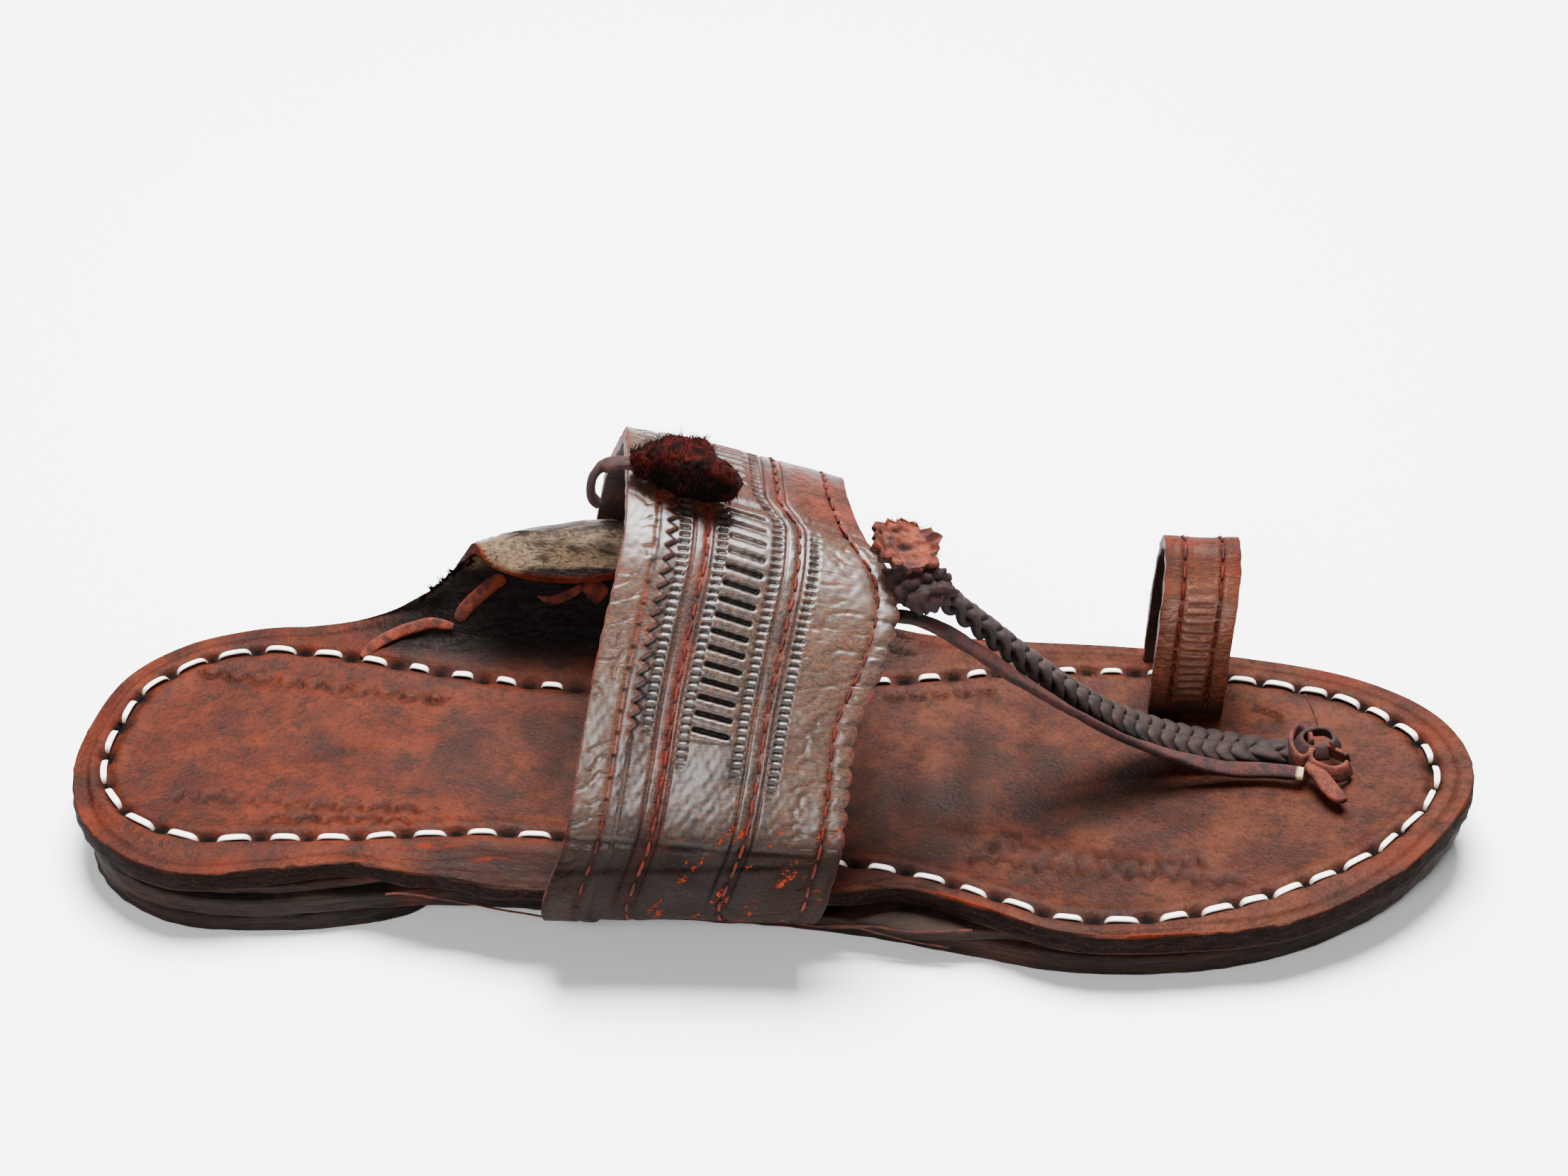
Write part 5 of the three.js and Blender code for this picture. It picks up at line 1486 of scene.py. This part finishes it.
# %% [markdown]
# ## Floor, light and camera
# The sandal lies in a white light tent: a pale floor, a bright surround and three soft lamps, the
# strongest above it and a little behind, the others low behind and in front. The camera looks down
# at 35 degrees.

# %% Floor and world
floor_finish = Finish("pale floor")
floor_finish.surface(dye(248, 249, 250, 1, 1), 0.6, Specular_IOR_Level=0.2)
floor_mesh = bpy.data.meshes.new("floor")
half_floor, floor_depth = 3.0, 0.0002
corners = [(x * half_floor, y * half_floor, -floor_depth) for x, y in ((-1, -1), (1, -1), (1, 1), (-1, 1))]
floor_mesh.from_pydata(corners, [], [(0, 1, 2, 3)])
floor_mesh.materials.append(floor_finish.material)
floor = placed("floor", floor_mesh)

world = bpy.data.worlds.new("light tent")
bpy.context.scene.world = world
world.use_nodes = True
surround = world.node_tree.nodes["Background"]
surround.inputs["Color"].default_value = (0.93, 0.96, 1.0, 1)
surround.inputs["Strength"].default_value = 0.26
print("a white tent of strength", round(surround.inputs["Strength"].default_value, 2))

# %% Lamps
LAMPS = [
    ("top lamp", (0.0, 0.22, 0.85), (0, 0, 0), 0.55, 56),
    ("back lamp", (-0.2, 0.75, 0.75), (0, 0, 0), 0.4, 9),
    ("front lamp", (-0.2, -0.8, 0.62), (0, 0, 0.03), 0.3, 8),
]
for name, place, aim, size, watts in LAMPS:
    data = bpy.data.lights.new(name, "AREA")
    data.shape = "DISK"
    data.size = size
    data.energy = watts
    light = placed(name, data)
    way = np.array(aim, float) - np.array(place, float)
    light.location = place
    light.rotation_euler = (math.atan2(math.hypot(way[0], way[1]), -way[2]), 0,
                            math.atan2(way[1], way[0]) - math.pi / 2)
    print(name, watts, "W")

# %% Camera
CAMERA_PLACE = (153.2, -505.2, 409.2)
LOOK_DOWN, LOOK_ASIDE = 35.0, 1.845
camera_data = bpy.data.cameras.new("camera")
camera_data.sensor_width = 36
camera_data.lens = 78.12
camera = placed("camera", camera_data)
camera.location = tuple((np.array(CAMERA_PLACE) + SHIFT) * MM)
camera.rotation_euler = (math.radians(90 - LOOK_DOWN), 0, math.radians(LOOK_ASIDE))
bpy.context.scene.camera = camera
print("camera at", [round(part, 3) for part in camera.location])
